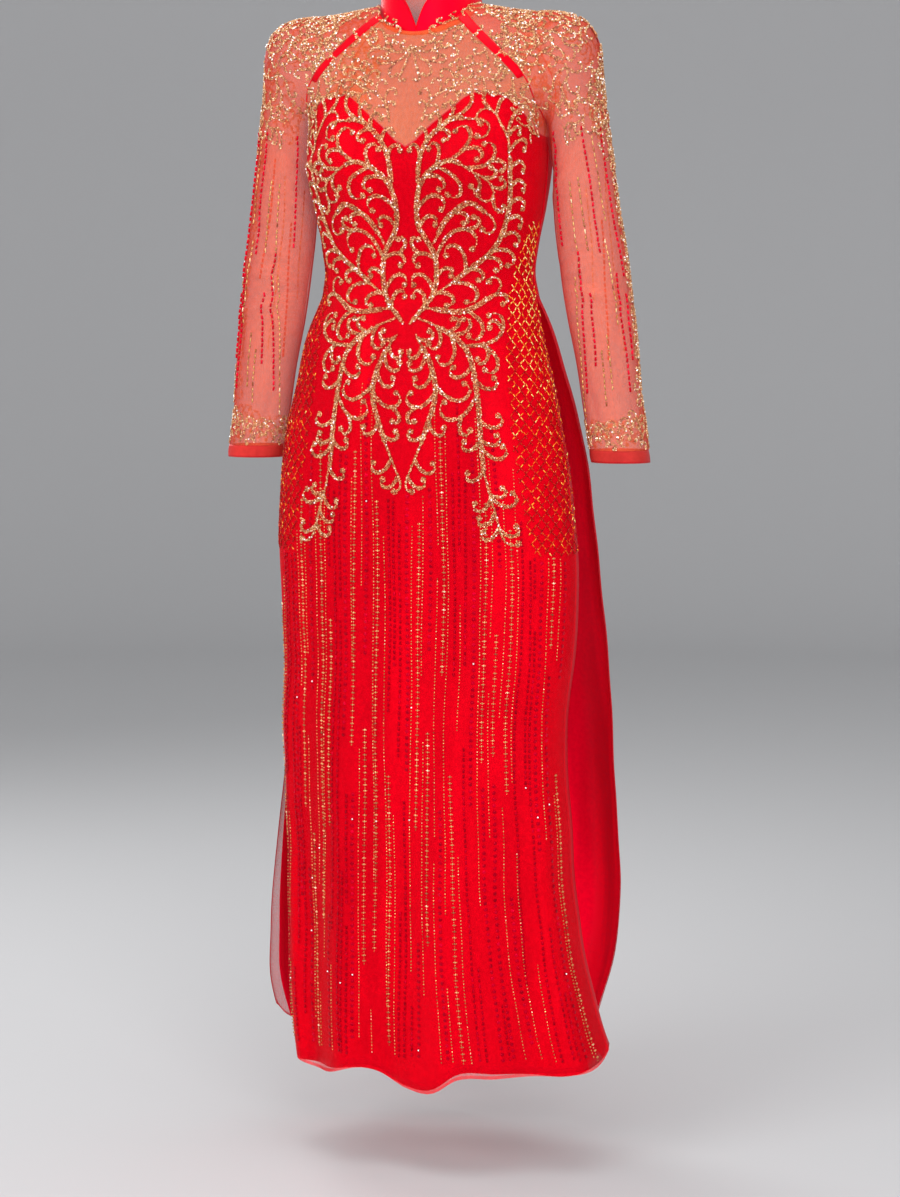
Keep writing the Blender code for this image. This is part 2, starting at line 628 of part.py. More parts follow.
def collar(materials, collection):
    """The stand collar, rising from the neck seam."""
    angle = np.linspace(-pi, pi, COLLAR_COLUMNS + 1)
    angle = np.sign(angle) * pi * (np.abs(angle) / pi) ** COLLAR_CROWDING
    ring = neck_ring(angle)
    axis = np.array([0.0, -COLLAR_TILT, 1.0]) / np.hypot(COLLAR_TILT, 1.0)
    inward = -ring * np.array([1, 1, 0])
    inward = inward / np.linalg.norm(inward, axis=1, keepdims=True)
    rows = []
    for share in np.linspace(0, 1, 4):
        rise = LAYER_STEP * COLLAR_CLEARANCE + share * collar_height(angle)[:, None]
        rows.append(ring + axis * rise + inward * rise * COLLAR_LEAN)
    grid = np.array(rows)[::-1]
    keys = grid_keys(grid.shape, closed_from=0)
    wall_object("collar", grid, keys, COLLAR_WALL, materials["collar"], collection, flip=True, grow=0.0)


def main():
    """Builds the whole tunic."""
    for old in list(bpy.data.objects):
        bpy.data.objects.remove(old)
    collection = bpy.data.collections.new("ao_dai_tunic")
    bpy.context.scene.collection.children.link(collection)
    materials = {name: cloth_material(name, colour, 0.35 if name == "satin" else 0.6)
                 for name, colour in CLOTH_COLOURS.items()}
    grid, normals = panel_layers(False, materials, collection)
    raglan_bands(grid, normals, materials, collection)
    panel_layers(True, materials, collection)
    sleeves(materials, collection)
    collar(materials, collection)


if __name__ == "__main__":
    main()
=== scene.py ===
"""Ao dai tunic: red satin under beaded net, with long sheer sleeves, dressed over its solid model.

Sizes are metres. +Z is up, the front faces -Y and the wearer's left is +X. The origin is the centre of the
neck opening. Cloth hangs on one smooth figure surface, and the beadwork is placed on that cloth.
"""

import logging
from dataclasses import dataclass, field
from enum import Enum
from math import cos, pi, radians, sin

import bpy
import numpy as np
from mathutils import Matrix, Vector


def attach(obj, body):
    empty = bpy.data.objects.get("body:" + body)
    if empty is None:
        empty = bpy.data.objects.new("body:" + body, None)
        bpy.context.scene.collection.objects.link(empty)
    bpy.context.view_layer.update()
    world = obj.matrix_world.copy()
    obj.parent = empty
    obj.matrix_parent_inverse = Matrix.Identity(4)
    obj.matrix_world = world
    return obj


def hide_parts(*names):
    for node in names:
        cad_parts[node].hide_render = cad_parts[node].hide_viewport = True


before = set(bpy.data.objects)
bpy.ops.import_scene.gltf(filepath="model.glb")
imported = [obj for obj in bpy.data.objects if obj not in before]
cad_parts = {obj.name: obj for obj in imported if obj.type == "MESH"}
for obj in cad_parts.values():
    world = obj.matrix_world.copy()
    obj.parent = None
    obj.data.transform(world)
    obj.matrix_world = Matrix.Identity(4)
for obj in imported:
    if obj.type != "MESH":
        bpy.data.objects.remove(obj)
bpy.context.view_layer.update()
LOG = logging.getLogger("ao_dai")
Array = np.ndarray
Colour = tuple[float, float, float]
Piece = bpy.types.Object
Material = bpy.types.Material
TURN = 2 * pi

# ---- Levels and gaps shared by the pieces
LAYER_STEP = 0.0013
UNLINED = 2.0   # added to a net's edge distance where no satin lies behind it
NECK_HALF_WIDTH, NECK_HALF_DEPTH = 0.061, 0.060
NECK_SIDE_Z, NECK_TIP, NECK_SAG = 0.002, 0.029, 0.007
RAGLAN_FRONT, RAGLAN_BACK = radians(60), radians(118)
UNDERARM_Z, UNDERARM_Y = -0.145, 0.008
CHEST_LINE_RISE = 0.012
SLIT_TOP_Z = -0.350
CUFF_TOP_Z, CUFF_END_Z = -0.5405, -0.5560
COLLAR_HEIGHT, COLLAR_LEAN = 0.040, 0.10
NOTCH_JOIN, NOTCH_TURN = 0.0035, radians(21)
BAND_WIDTH = 0.014
NECK_CLEAR = 1.03   # beads stay outside this many times the neck ring
SLIT_STEP, SLIT_EASE, LINING_RETREAT = 0.018, 0.060, 0.034
CUP_PLACE, CUP_SPREAD, CUP_DEPTH = (.082, -.188), (.056, .054), .021
NECK_RADIUS, NECK_TILT = 0.057, 0.22
BLEND_NECK, BLEND_ARM, BLEND_FADE = 0.014, 0.042, 0.050
SECTION_POWER = 2.2
CAP_RADIUS = 0.048
CAP_CONTROL = {"front": (.104, -.085, -.045), "top": (.198, .008, .012), "back": (.124, .1, -.03)}

# ---- Tables
def hermite(values: Array, slopes: Array, cell: Array, t: Array, width: Array | float = 1.0) -> Array:
    """Smooth values a share t of the way through cells of a table with the slopes at its rows."""
    return ((2 * t**3 - 3 * t**2 + 1) * values[cell] + (t**3 - 2 * t**2 + t) * width * slopes[cell]
            + (3 * t**2 - 2 * t**3) * values[cell + 1] + (t**3 - t**2) * width * slopes[cell + 1])


class Curves:
    """A table with named columns, read along smooth curves. Its first column is the place along them."""

    def __init__(self, names: str, rows: list[tuple[float, ...]]) -> None:
        """Sorts the rows by their place and finds the slopes.

        Args:
            names: the columns' names, with spaces between.
            rows: the table.
        """
        ordered = np.array(rows)
        ordered = ordered[np.argsort(ordered[:, 0])]
        self.keys = ordered[:, 0]
        self.columns = dict(zip(names.split()[1:], ordered.T[1:]))

    def at(self, place: Array | float, name: str) -> Array:
        """Reads a column at some places, which are clipped to the table's ends."""
        place = np.clip(np.asarray(place, dtype=float), self.keys[0], self.keys[-1])
        cell = np.clip(np.searchsorted(self.keys, place) - 1, 0, len(self.keys) - 2)
        width = self.keys[cell + 1] - self.keys[cell]
        values = self.columns[name]
        return hermite(values, np.gradient(values, self.keys), cell, (place - self.keys[cell]) / width, width)

    def all(self, place: Array | float) -> tuple[Array, ...]:
        """Reads every column at some places."""
        return tuple(self.at(place, name) for name in self.columns)


CHEST = Curves("z half_width front_depth back_depth power", [
    (-.35, .137, .092, .094, 2.2), (-.325, .133, .089, .088, 2.2), (-.29, .136, .092, .087, 2.25),
    (-.24, .145, .1, .093, 2.45), (-.19, .15, .105, .1, 2.9), (-.145, .1484, .101, .104, 2.8),
    (-.1, .156, .091, .104, 2.5), (-.07, .163, .081, .099, 2.4), (-.04, .164, .067, .088, 2.3),
    (-.022, .157, .056, .074, 2.25), (-.01, .135, .045, .062, 2.25), (-.002, .105, .036, .05, 2.25),
    (.004, .07, .026, .038, 2.25),
])
ARM = Curves("z inner_x outer_x half_depth centre_y", [
    (-.062, .118, .214, .048, .006), (-.105, .133, .219, .048, .007),
    (-.145, .1502, .224, .0475, .008), (-.19, .1545, .23, .046, .01),
    (-.24, .156, .2375, .0445, .012), (-.31, .162, .248, .043, .014),
    (-.383, .174, .257, .041, .016), (-.459, .189, .264, .037, .018),
    (-.556, .203, .2765, .034, .02),
])
FRONT_SKIRT = Curves("z left right edge_y reach", [
    (-.35, .136, .136, 0, .092), (-.404, .157, .15, -.005, .1),
    (-.46, .168, .164, -.01, .103), (-.52, .18, .178, -.016, .1),
    (-.61, .189, .193, -.022, .094), (-.71, .1885, .199, -.024, .092),
    (-.795, .183, .195, -.024, .094), (-.9, .183, .1855, -.024, .098),
    (-1.0, .179, .1915, -.024, .1), (-1.1, .1755, .1985, -.024, .102),
    (-1.2, .174, .216, -.024, .104), (-1.26, .172, .233, -.024, .105),
    (-1.32, .164, .256, -.024, .106),
])
BACK_SKIRT = Curves("z left right edge_y reach", [
    (-.35, .136, .136, 0, .094), (-.404, .157, .157, .008, .11),
    (-.45, .168, .168, .018, .114), (-.5, .18, .181, .028, .108),
    (-.56, .188, .193, .034, .098), (-.63, .194, .201, .04, .09),
    (-.72, .198, .2095, .045, .084), (-.83, .205, .2187, .052, .08),
    (-.99, .22, .2282, .056, .08), (-1.1, .233, .233, .058, .08),
    (-1.18, .24, .228, .058, .08), (-1.24, .241, .212, .06, .08),
    (-1.32, .223, .19, .06, .08),
])
# place, hem_place, spread, depth and start_z of each upright fold
FRONT_FOLDS = np.array([
    (-.8, -.74, .11, .011, -.62), (-.52, -.5, .1, -.01, -.78), (-.22, -.3, .11, .013, -.66),
    (-.02, -.06, .1, -.012, -.72), (.2, .17, .12, .014, -.58), (.42, .43, .1, -.014, -.8),
    (.66, .7, .11, .012, -.7), (.92, .93, .09, -.009, -.86),
])
BACK_FOLDS = np.array([
    (-.86, -.82, .1, -.01, -.74), (-.6, -.58, .11, .012, -.64), (-.3, -.33, .12, -.013, -.72),
    (0, -.04, .12, .014, -.6), (.28, .26, .1, -.012, -.76), (.55, .56, .12, .013, -.66),
    (.84, .86, .1, -.01, -.82),
])
FOLD_GROWTH = 0.55
SWEETHEART = Curves("place z", [
    (0, -.172), (.012, -.152), (.026, -.137), (.042, -.124), (.056, -.1125), (.071, -.1065),
    (.089, -.1085), (.106, -.1135), (.126, -.127), (.1485, -.157),
])
FRONT_HEM = Curves("place z", [
    (-1.0, -1.318), (-.8, -1.314), (-.45, -1.314), (-.12, -1.311), (-.03, -1.323), (.08, -1.327),
    (.17, -1.304), (.3, -1.304), (.5, -1.309), (.8, -1.296), (1.0, -1.281),
])
BACK_HEM = Curves("place z", [(-1.0, -1.282), (-.8, -1.304), (0.0, -1.314), (.5, -1.3), (1.0, -1.266)])
BACK_NECKLINE_Z = (-0.190, -0.157)


# ---- Small mathematics
def paired(first: Array | float, second: Array | float) -> list[Array]:
    """Two values spread over one shape."""
    return np.broadcast_arrays(np.asarray(first, dtype=float), np.asarray(second, dtype=float))


def smoothstep(low: float, high: float, value: Array | float) -> Array:
    """Rises smoothly from 0 at low to 1 at high."""
    t = np.clip((value - low) / (high - low), 0.0, 1.0)
    return t * t * (3 - 2 * t)


def signed_power(value: Array, power: Array | float) -> Array:
    """Raises the size of a value to a power and keeps its sign."""
    return np.sign(value) * np.abs(value) ** power


def unit(vectors: Array) -> Array:
    """Scales vectors along the last axis to length 1."""
    return vectors / np.maximum(np.linalg.norm(vectors, axis=-1, keepdims=True), 1e-12)


def bell(value: Array, middle: float, spread: float) -> Array:
    """A soft bump of height 1 about the middle."""
    return np.exp(-((value - middle) / spread) ** 2)


def resample(grid: Array, rows: Array, columns: Array) -> Array:
    """Reads a grid of points between its rows and columns, along smooth curves.

    Args:
        grid: rows by columns by 3.
        rows: fractional row numbers.
        columns: fractional column numbers.

    Returns:
        len(rows) by len(columns) by 3 points.
    """
    def along(values: Array, at: Array) -> Array:
        cell = np.clip(np.floor(at).astype(int), 0, len(values) - 2)
        return hermite(values, np.gradient(values, axis=0), cell, (at - cell)[:, None, None])

    halfway = along(grid, rows)
    return along(halfway.transpose(1, 0, 2), columns).transpose(1, 0, 2)


# ---- The figure that the cloth lies on
@dataclass(frozen=True)
class Figure:
    """A plain dress-form shape: chest, neck and upper arms as one smooth distance field."""

    probe: float = 1e-4
    step_limit: float = 0.02

    def cup(self, x: Array, z: Array) -> Array:
        """How far a bust cup stands out from the chest."""
        across = (np.abs(x) - CUP_PLACE[0]) / CUP_SPREAD[0]
        upward = (z - CUP_PLACE[1]) / CUP_SPREAD[1]
        return CUP_DEPTH * np.exp(-across**2 - upward**2)

    def chest(self, points: Array) -> Array:
        """Roughly the distance outside the chest."""
        x, y, z = points.T
        half, front, back, power = CHEST.all(z)
        depth = np.where(y < 0, front + self.cup(x, z), back)
        ratio = (np.abs(x / half) ** power + np.abs(y / depth) ** power) ** (1 / power)
        return (ratio - 1) * np.minimum(half, depth) + np.maximum(z - CHEST.keys[-1], 0.0)

    def neck(self, points: Array) -> Array:
        """Distance outside the neck."""
        x, y, z = points.T
        return np.hypot(x, y - NECK_TILT * np.minimum(z, 0.0)) - NECK_RADIUS

    def arm(self, points: Array, side: int) -> Array:
        """Roughly the distance outside one upper arm."""
        x, y, z = points.T
        inner, outer, deep, middle_y = ARM.all(np.minimum(z, ARM.keys[-1]))
        half = (outer - inner) / 2
        rise = np.maximum(z - ARM.keys[-1], 0.0)
        ratio = np.sqrt(((x * side - (outer + inner) / 2) / half) ** 2 + ((y - middle_y) / deep) ** 2
                        + (rise / CAP_RADIUS) ** 2)
        return (ratio - 1) * half

    def field(self, points: Array) -> Array:
        """The whole figure as one field, below zero inside."""
        body = blend_union(self.chest(points), self.neck(points), BLEND_NECK)
        fillet = BLEND_ARM * smoothstep(UNDERARM_Z, UNDERARM_Z + BLEND_FADE, points[:, 2]) + 1e-4
        for side in (1, -1):
            body = blend_union(body, self.arm(points, side), fillet)
        return body

    def slope(self, points: Array) -> Array:
        """The field's gradient."""
        return np.stack([(self.field(points + self.probe * axis) - self.field(points - self.probe * axis))
                         / (2 * self.probe) for axis in np.eye(3)], axis=1)

    def settle(self, points: Array, rounds: int = 12) -> Array:
        """Moves points along the field's slope until they lie on the figure."""
        points = np.array(points, dtype=float)
        shape = points.shape
        points = points.reshape(-1, 3)
        for _ in range(rounds):
            slope = self.slope(points)
            length = np.maximum((slope**2).sum(axis=1), 0.09)
            push = np.clip(self.field(points) / length, -self.step_limit, self.step_limit)
            points = points - push[:, None] * slope
        return points.reshape(shape)

    def normal(self, points: Array) -> Array:
        """Outward unit normals at points of the surface."""
        return unit(self.slope(points.reshape(-1, 3))).reshape(points.shape)


def blend_union(first: Array, second: Array, reach: Array | float) -> Array:
    """Joins two distance fields with a soft fillet."""
    mix = np.clip(0.5 + 0.5 * (second - first) / reach, 0.0, 1.0)
    return second * (1 - mix) + first * mix - reach * mix * (1 - mix)


FIGURE = Figure()


def neck_ring(angle: Array | float) -> Array:
    """The neck seam, at angles measured round from centre front towards +X."""
    angle = np.asarray(angle, dtype=float)
    height = NECK_SIDE_Z - NECK_TIP * np.cos(angle) - NECK_SAG * np.cos(angle) ** 2
    return np.stack([NECK_HALF_WIDTH * np.sin(angle), -NECK_HALF_DEPTH * np.cos(angle), height], axis=-1)


def arm_ring(turn: Array | float, z: Array | float) -> Array:
    """A level ring of the +X sleeve: turn runs from 0 at the underarm through the front and outside to 1."""
    turn, z = paired(turn, z)
    inner, outer, deep, middle_y = ARM.all(z)
    angle = 2 * pi * turn
    return np.stack([(inner + outer) / 2 - (outer - inner) / 2 * np.cos(angle),
                     middle_y - deep * np.sin(angle), z],
                    axis=-1)


def sleeve_cap(turn: Array | float, down: Array | float) -> Array:
    """The sleeve above the underarm: down runs from 0 at the neck seam to 1 at the underarm."""
    turn, down = paired(turn, down)
    start = neck_ring(RAGLAN_FRONT + (RAGLAN_BACK - RAGLAN_FRONT) * turn)
    end = arm_ring(turn, UNDERARM_Z)
    front, top, back = (np.array(CAP_CONTROL[key]) for key in ("front", "top", "back"))
    share, across, t = np.sin(pi * turn)[..., None], turn[..., None], down[..., None]
    control = (front * (1 - across) + back * across) * (1 - share) + top * share
    return FIGURE.settle((1 - t)**2 * start + 2 * t * (1 - t) * control + t**2 * end)


# ---- Cloth shapes
# across, z, angle in degrees, half length, half width and depth (minus is a trough) of each soft crease
BODICE_CREASES = (
    (-.02, -.352, 2, .05, .0045, -.0024), (-.012, -.361, -3, .042, .006, .0016),
    (.04, -.338, 6, .045, .006, -.0016), (-.075, -.33, -8, .035, .006, -.0016),
    (.07, -.365, 12, .04, .007, .0015), (-.06, -.378, -10, .04, .007, .0013),
    (.118, -.172, -38, .03, .0045, -.0018), (-.12, -.168, 220, .03, .0045, -.0018),
    (.126, -.19, -24, .028, .005, .0014), (-.127, -.188, 204, .028, .005, .0014),
    (0, -.205, 90, .03, .0016, -.001), (.105, -.3, 40, .035, .006, -.0012),
    (-.105, -.3, -40, .035, .006, -.0012), (.03, -.43, 78, .06, .008, -.0014),
    (-.055, -.47, 96, .07, .009, .0015), (.085, -.52, 86, .08, .009, .0016),
)
SLEEVE_CREASES = (
    (-.018, -.3, 24, .034, .005, -.0022), (-.01, -.316, 18, .036, .005, .002),
    (-.022, -.334, -8, .034, .0055, -.002), (.012, -.352, -16, .036, .006, .0018),
    (-.04, -.185, 50, .03, .005, -.002), (-.03, -.215, 42, .03, .0055, .0016),
    (.02, -.25, 66, .04, .007, -.0013), (.004, -.44, 74, .05, .006, .0014),
    (-.02, -.49, 98, .04, .006, -.0013), (.03, -.4, 84, .05, .008, -.0014),
    (-.006, -.52, 60, .024, .005, .0013),
)
CREASE_GAIN = 1.35
# height, waves a metre across and upwards, and phase of the cloth's long unevenness
LONG_WAVES = ((.0005, 7.0, 3.0, .3), (.0004, -5.0, 9.0, 1.9), (.0003, 17.0, 5.0, 4.1))


def crease_height(creases: tuple[tuple[float, ...], ...], across: Array, z: Array) -> Array:
    """How far the cloth stands out.

    Args:
        creases: a table of soft creases.
        across: distances across the cloth.
        z: heights.

    Returns:
        The summed height of the creases and the long waves at each place.
    """
    height = sum(high * np.sin(TURN * (a * across + b * z) + phase) for high, a, b, phase in LONG_WAVES)
    for middle, level, angle, half_length, half_width, depth in creases:
        dx, dz = across - middle, z - level
        along = dx * cos(radians(angle)) + dz * sin(radians(angle))
        aside = dz * cos(radians(angle)) - dx * sin(radians(angle))
        bell = np.exp(-(along / half_length) ** 2 - (aside / half_width) ** 2)
        height = height + CREASE_GAIN * (depth * bell)
    return height


@dataclass
class PanelShape:
    """The front or the back of the tunic, from the neck seam to the hem."""

    back: bool
    coarse_columns: int = 20
    yoke_rows: int = 8
    finer: int = 5
    bodice_rows: int = 46
    skirt_rows: int = 104
    edge_columns: int = 6
    skirt_growth: float = 1.12
    relax_rounds: int = 12
    sign: int = field(init=False)
    skirt: Curves = field(init=False)
    folds: Array = field(init=False)
    hem: Curves = field(init=False)

    def __post_init__(self) -> None:
        """Picks the tables of this side."""
        self.sign = 1 if self.back else -1
        self.skirt = BACK_SKIRT if self.back else FRONT_SKIRT
        self.folds = BACK_FOLDS if self.back else FRONT_FOLDS
        self.hem = BACK_HEM if self.back else FRONT_HEM

    def edge_z(self, turn: Array) -> Array:
        """The height of the base cloth's top edge, from underarm to underarm."""
        if self.back:
            middle, side = BACK_NECKLINE_Z
            return side + (middle - side) * smoothstep(0.0, 0.6, 1 - np.abs(turn))
        return SWEETHEART.at(CHEST.at(UNDERARM_Z, "half_width") * np.abs(np.sin(turn * pi / 2)), "z")

    def hem_z(self, turn: Array) -> Array:
        """The height of the hem."""
        return self.hem.at(turn, "z")

    def fold_height(self, turn: Array, z: Array) -> Array:
        """How far the upright folds stand out from the skirt."""
        height = np.zeros_like(z)
        hem = self.hem_z(turn)
        for place, hem_place, spread, depth, start_z in self.folds:
            along = np.clip((start_z - z) / (start_z - hem), 0, 1)
            middle = place + (hem_place - place) * along
            height = height + depth * smoothstep(0.0, FOLD_GROWTH, start_z - z) * bell(turn, middle, spread)
        return height

    def section(self, turn: Array, z: Array) -> Array:
        """Points of the bodice and skirt, with turn running from -1 to 1 between the side edges."""
        turn, z = paired(turn, z)
        angle = turn * pi / 2
        half, front, back, power = CHEST.all(z)
        upper_x = half * signed_power(np.sin(angle), 2 / power)
        upper_y = self.sign * (back if self.back else front) * np.abs(np.cos(angle)) ** (2 / power)
        if not self.back:
            upper_y = upper_y - FIGURE.cup(upper_x, z) * np.abs(np.cos(angle)) ** 0.5
        upper_y = upper_y + UNDERARM_Y * smoothstep(UNDERARM_Z - 0.06, UNDERARM_Z, z) * np.abs(turn) ** 6
        left, right, edge_y, lower_reach = self.skirt.all(z)
        lower_x = np.where(turn < 0, left, right) * signed_power(np.sin(angle), 2 / SECTION_POWER)
        lower_y = edge_y + self.sign * lower_reach * np.abs(np.cos(angle)) ** (2 / SECTION_POWER)
        lower_y = lower_y + self.sign * self.fold_height(turn, z)
        low = z < SLIT_TOP_Z
        points = np.stack([np.where(low, lower_x, upper_x), np.where(low, lower_y, upper_y), z], axis=-1)
        high = z > UNDERARM_Z + 1e-6
        if high.any():
            points[high] = FIGURE.settle(points[high])
        return points

    def layer_share(self, z: float, retreat: float = 0.0) -> float:
        """The share of its half width that the narrower layer keeps, less a retreat that grows downwards."""
        half = (self.skirt.at(z, "left") + self.skirt.at(z, "right")) / 2
        step = SLIT_STEP * smoothstep(0.0, SLIT_EASE, SLIT_TOP_Z - z) + retreat * smoothstep(0.60, 0.86,
                                                                                             SLIT_TOP_Z - z)
        return float(1 - step / (half * 1.35))

    def coarse_yoke(self) -> Array:
        """The yoke's guiding grid between the neck seam and the chest line."""
        even = np.linspace(-1, 1, self.coarse_columns + 1)
        edge = self.section(even, self.edge_z(even) + CHEST_LINE_RISE)
        limit = RAGLAN_BACK if self.back else RAGLAN_FRONT
        rows = []
        for down in 1 - (1 - np.arange(self.yoke_rows) / self.yoke_rows) ** 1.15:
            seam = sleeve_cap(1.0 if self.back else 0.0, down)
            inner = 1 - min(BAND_WIDTH / (abs(seam[0]) * 1.15), 0.2)
            turn = np.concatenate([[-1], np.linspace(-inner, inner, self.coarse_columns - 1), [1]])
            angle = pi - (pi - limit) * turn if self.back else limit * turn
            target = self.section(turn, self.edge_z(turn) + CHEST_LINE_RISE)
            points = neck_ring(angle) * (1 - down) + target * down
            bulge = seam - points[-1]
            side = np.where(turn[:, None] < 0, np.array([-1, 1, 1]), 1)
            rows.append(FIGURE.settle(points + bulge * side * (turn**2)[:, None]))
        rows.append(edge)
        rows.append(self.section(even, self.edge_z(even)))
        rows = np.array(rows)
        free = np.zeros(rows.shape[:2], dtype=bool)
        free[1:-1, 1:-1] = True
        free[:self.yoke_rows - 1, 1] = free[:self.yoke_rows - 1, -2] = False
        for _ in range(self.relax_rounds):
            middle = (np.roll(rows, 1, axis=0) + np.roll(rows, -1, axis=0)
                      + np.roll(rows, 1, axis=1) + np.roll(rows, -1, axis=1)) / 4
            rows[free] = FIGURE.settle(middle[free], rounds=3)
        return rows

    def yoke(self) -> Array:
        """The yoke's fine grid, down to the row above the base cloth's top edge."""
        coarse = self.coarse_yoke()
        even = np.linspace(-1, 1, self.coarse_columns * self.finer + 1)
        columns = np.linspace(0, self.coarse_columns, len(even))
        below = self.section(np.linspace(-1, 1, self.coarse_columns + 1),
                             self.edge_z(np.linspace(-1, 1, self.coarse_columns + 1)) - 0.016)
        rows = np.arange(0, (len(coarse) - 1) * self.finer) / self.finer
        fine = resample(np.concatenate([coarse, below[None]]), rows, columns)
        last = resample(np.concatenate([coarse, below[None]]), np.array([len(coarse) - 1.0]), columns)
        shift = self.section(even, self.edge_z(even)) - last[0]
        fine = fine + shift * smoothstep(len(coarse) - 4, len(coarse) - 1, rows)[:, None, None]
        high = fine[..., 2] > UNDERARM_Z
        fine[high] = FIGURE.settle(fine[high], rounds=4)
        return fine

    def grid(self) -> tuple[Array, int, int]:
        """The whole panel as rows of points.

        Returns:
            The grid, with edge_columns more at each side that only the skirt uses, the row of the base
            cloth's top edge and the row of the slit's top.
        """
        even = np.linspace(-1, 1, self.coarse_columns * self.finer + 1)
        rows = [self.widen(row) for row in self.yoke()]
        top_row = len(rows)
        top_z = self.edge_z(even)
        for share in np.linspace(0, 1, self.bodice_rows + 1):
            rows.append(self.widen(self.section(even, top_z * (1 - share) + SLIT_TOP_Z * share)))
        slit_row = len(rows) - 1
        for share in np.linspace(0, 1, self.skirt_rows + 1)[1:] ** self.skirt_growth:
            level = SLIT_TOP_Z + share * (-1.31 - SLIT_TOP_Z)
            keep = self.layer_share(level)
            left = self.layer_share(level, LINING_RETREAT if self.back else 0.0)
            turn = np.concatenate([np.linspace(-1, -left, self.edge_columns + 1)[:-1],
                                   even * np.where(even < 0, left, keep),
                                   np.linspace(keep, 1, self.edge_columns + 1)[1:]])
            rows.append(self.section(turn, SLIT_TOP_Z + share * (self.hem_z(turn) - SLIT_TOP_Z)))
        return np.array(rows), top_row, slit_row

    def widen(self, row: Array) -> Array:
        """Repeats a row's end points where the extra edge columns aren't used."""
        return np.concatenate([np.repeat(row[:1], self.edge_columns, axis=0), row,
                               np.repeat(row[-1:], self.edge_columns, axis=0)])

    def crumple(self, points: Array, normals: Array) -> Array:
        """Lays the small creases into points of the cloth, fading out at the neck and shoulders."""
        creases = () if self.back else BODICE_CREASES
        fade = smoothstep(0.0, 0.10, -0.03 - points[..., 2])
        height = crease_height(creases, points[..., 0], points[..., 2]) * fade
        return points + normals * height[..., None]


def grid_normals(grid: Array) -> Array:
    """Unit normals of a grid: down the rows crossed with along the columns."""
    down = np.gradient(grid, axis=0)
    across = np.gradient(grid, axis=1)
    normal = np.cross(down, across)
    length = np.linalg.norm(normal, axis=2)
    for _ in range(8):
        bad = length < 1e-9
        if not bad.any():
            break
        spread = sum(np.roll(normal, shift, axis=axis) for shift in (1, -1) for axis in (0, 1))
        normal[bad] = spread[bad]
        length = np.linalg.norm(normal, axis=2)
    return unit(normal)


def arc_lengths(grid: Array) -> tuple[Array, Array]:
    """Distances over a grid, for its flat pattern.

    Args:
        grid: rows by columns by 3.

    Returns:
        How far each point lies from the middle column, and how far down from the first row.
    """
    steps = np.linalg.norm(np.diff(grid, axis=1), axis=2)
    across = np.concatenate([np.zeros((len(grid), 1)), np.cumsum(steps, axis=1)], axis=1)
    across = across - across[:, [grid.shape[1] // 2]]
    falls = np.linalg.norm(np.diff(grid, axis=0), axis=2)
    down = np.concatenate([np.zeros((1, grid.shape[1])), np.cumsum(falls, axis=0)])
    return across, down


# ---- Mesh making
def new_object(name: str, data: bpy.types.ID) -> Piece:
    """Adds an object to the scene, at the origin."""
    piece = bpy.data.objects.new(name, data)
    bpy.context.scene.collection.objects.link(piece)
    return piece


def sheet_object(name: str, grid: Array, outward: bool, edge: Array, skip: Array | None = None) -> Piece:
    """Makes one sheet of cloth from a grid of points.

    Args:
        name: the piece's name.
        grid: rows by columns by 3.
        outward: True if the grid's own normals already point outwards.
        edge: the distance of each point from the nearest hem, in metres.
        skip: True for each point that the cloth doesn't reach.

    Returns:
        The object, at the origin.
    """
    height, width = grid.shape[:2]
    number = np.arange(height * width).reshape(height, width)
    rounded = np.round(grid.reshape(-1, 3), 7)
    _, first, merged = np.unique(rounded, axis=0, return_index=True, return_inverse=True)
    corners = np.stack([number[:-1, :-1], number[:-1, 1:], number[1:, 1:], number[1:, :-1]],
                       axis=-1).reshape(-1, 4)
    if outward:
        corners = corners[:, ::-1]
    if skip is not None:
        corners = corners[~skip.reshape(-1)[corners].any(axis=1)]
    faces, loops = [], []
    flat = first[merged.reshape(-1)]
    for corner in corners:
        face, loop = [], []
        for index in corner:
            if flat[index] not in face:
                face.append(int(flat[index]))
                loop.append(int(index))
        if len(face) > 2:
            faces.append(face)
            loops.extend(loop)
    used = sorted({index for face in faces for index in face})
    place = {old: new for new, old in enumerate(used)}
    mesh = bpy.data.meshes.new(name)
    mesh.from_pydata(grid.reshape(-1, 3)[used].tolist(), [],
                     [[place[index] for index in face] for face in faces])
    layer = mesh.uv_layers.new(name="cloth")
    across, down = (lengths.reshape(-1)[loops] for lengths in arc_lengths(grid))
    layer.data.foreach_set("uv", np.stack([across, -down], axis=1).reshape(-1))
    mesh.attributes.new("edge", "FLOAT", "POINT").data.foreach_set("value", edge.reshape(-1)[used])
    mesh.shade_smooth()
    return new_object(name, mesh)


def apply_all(piece: Piece) -> None:
    """Applies every modifier of a piece in order."""
    for other in bpy.context.selected_objects:
        other.select_set(False)
    bpy.context.view_layer.objects.active = piece
    piece.select_set(True)
    for modifier in list(piece.modifiers):
        bpy.ops.object.modifier_apply(modifier=modifier.name)
    piece.select_set(False)


def give_wall(piece: Piece, thickness: float, offset: float, bevel: float = 0.0) -> None:
    """Turns a sheet into a thin closed wall, with its edges rounded if bevel is above zero."""
    solid = piece.modifiers.new("wall", "SOLIDIFY")
    solid.thickness, solid.offset = thickness, offset
    solid.use_even_offset = False
    if bevel > 0:
        edges = piece.modifiers.new("rounding", "BEVEL")
        edges.width, edges.segments = bevel, 2
        edges.limit_method, edges.angle_limit = "ANGLE", radians(50)
    apply_all(piece)
    piece.data.shade_smooth()


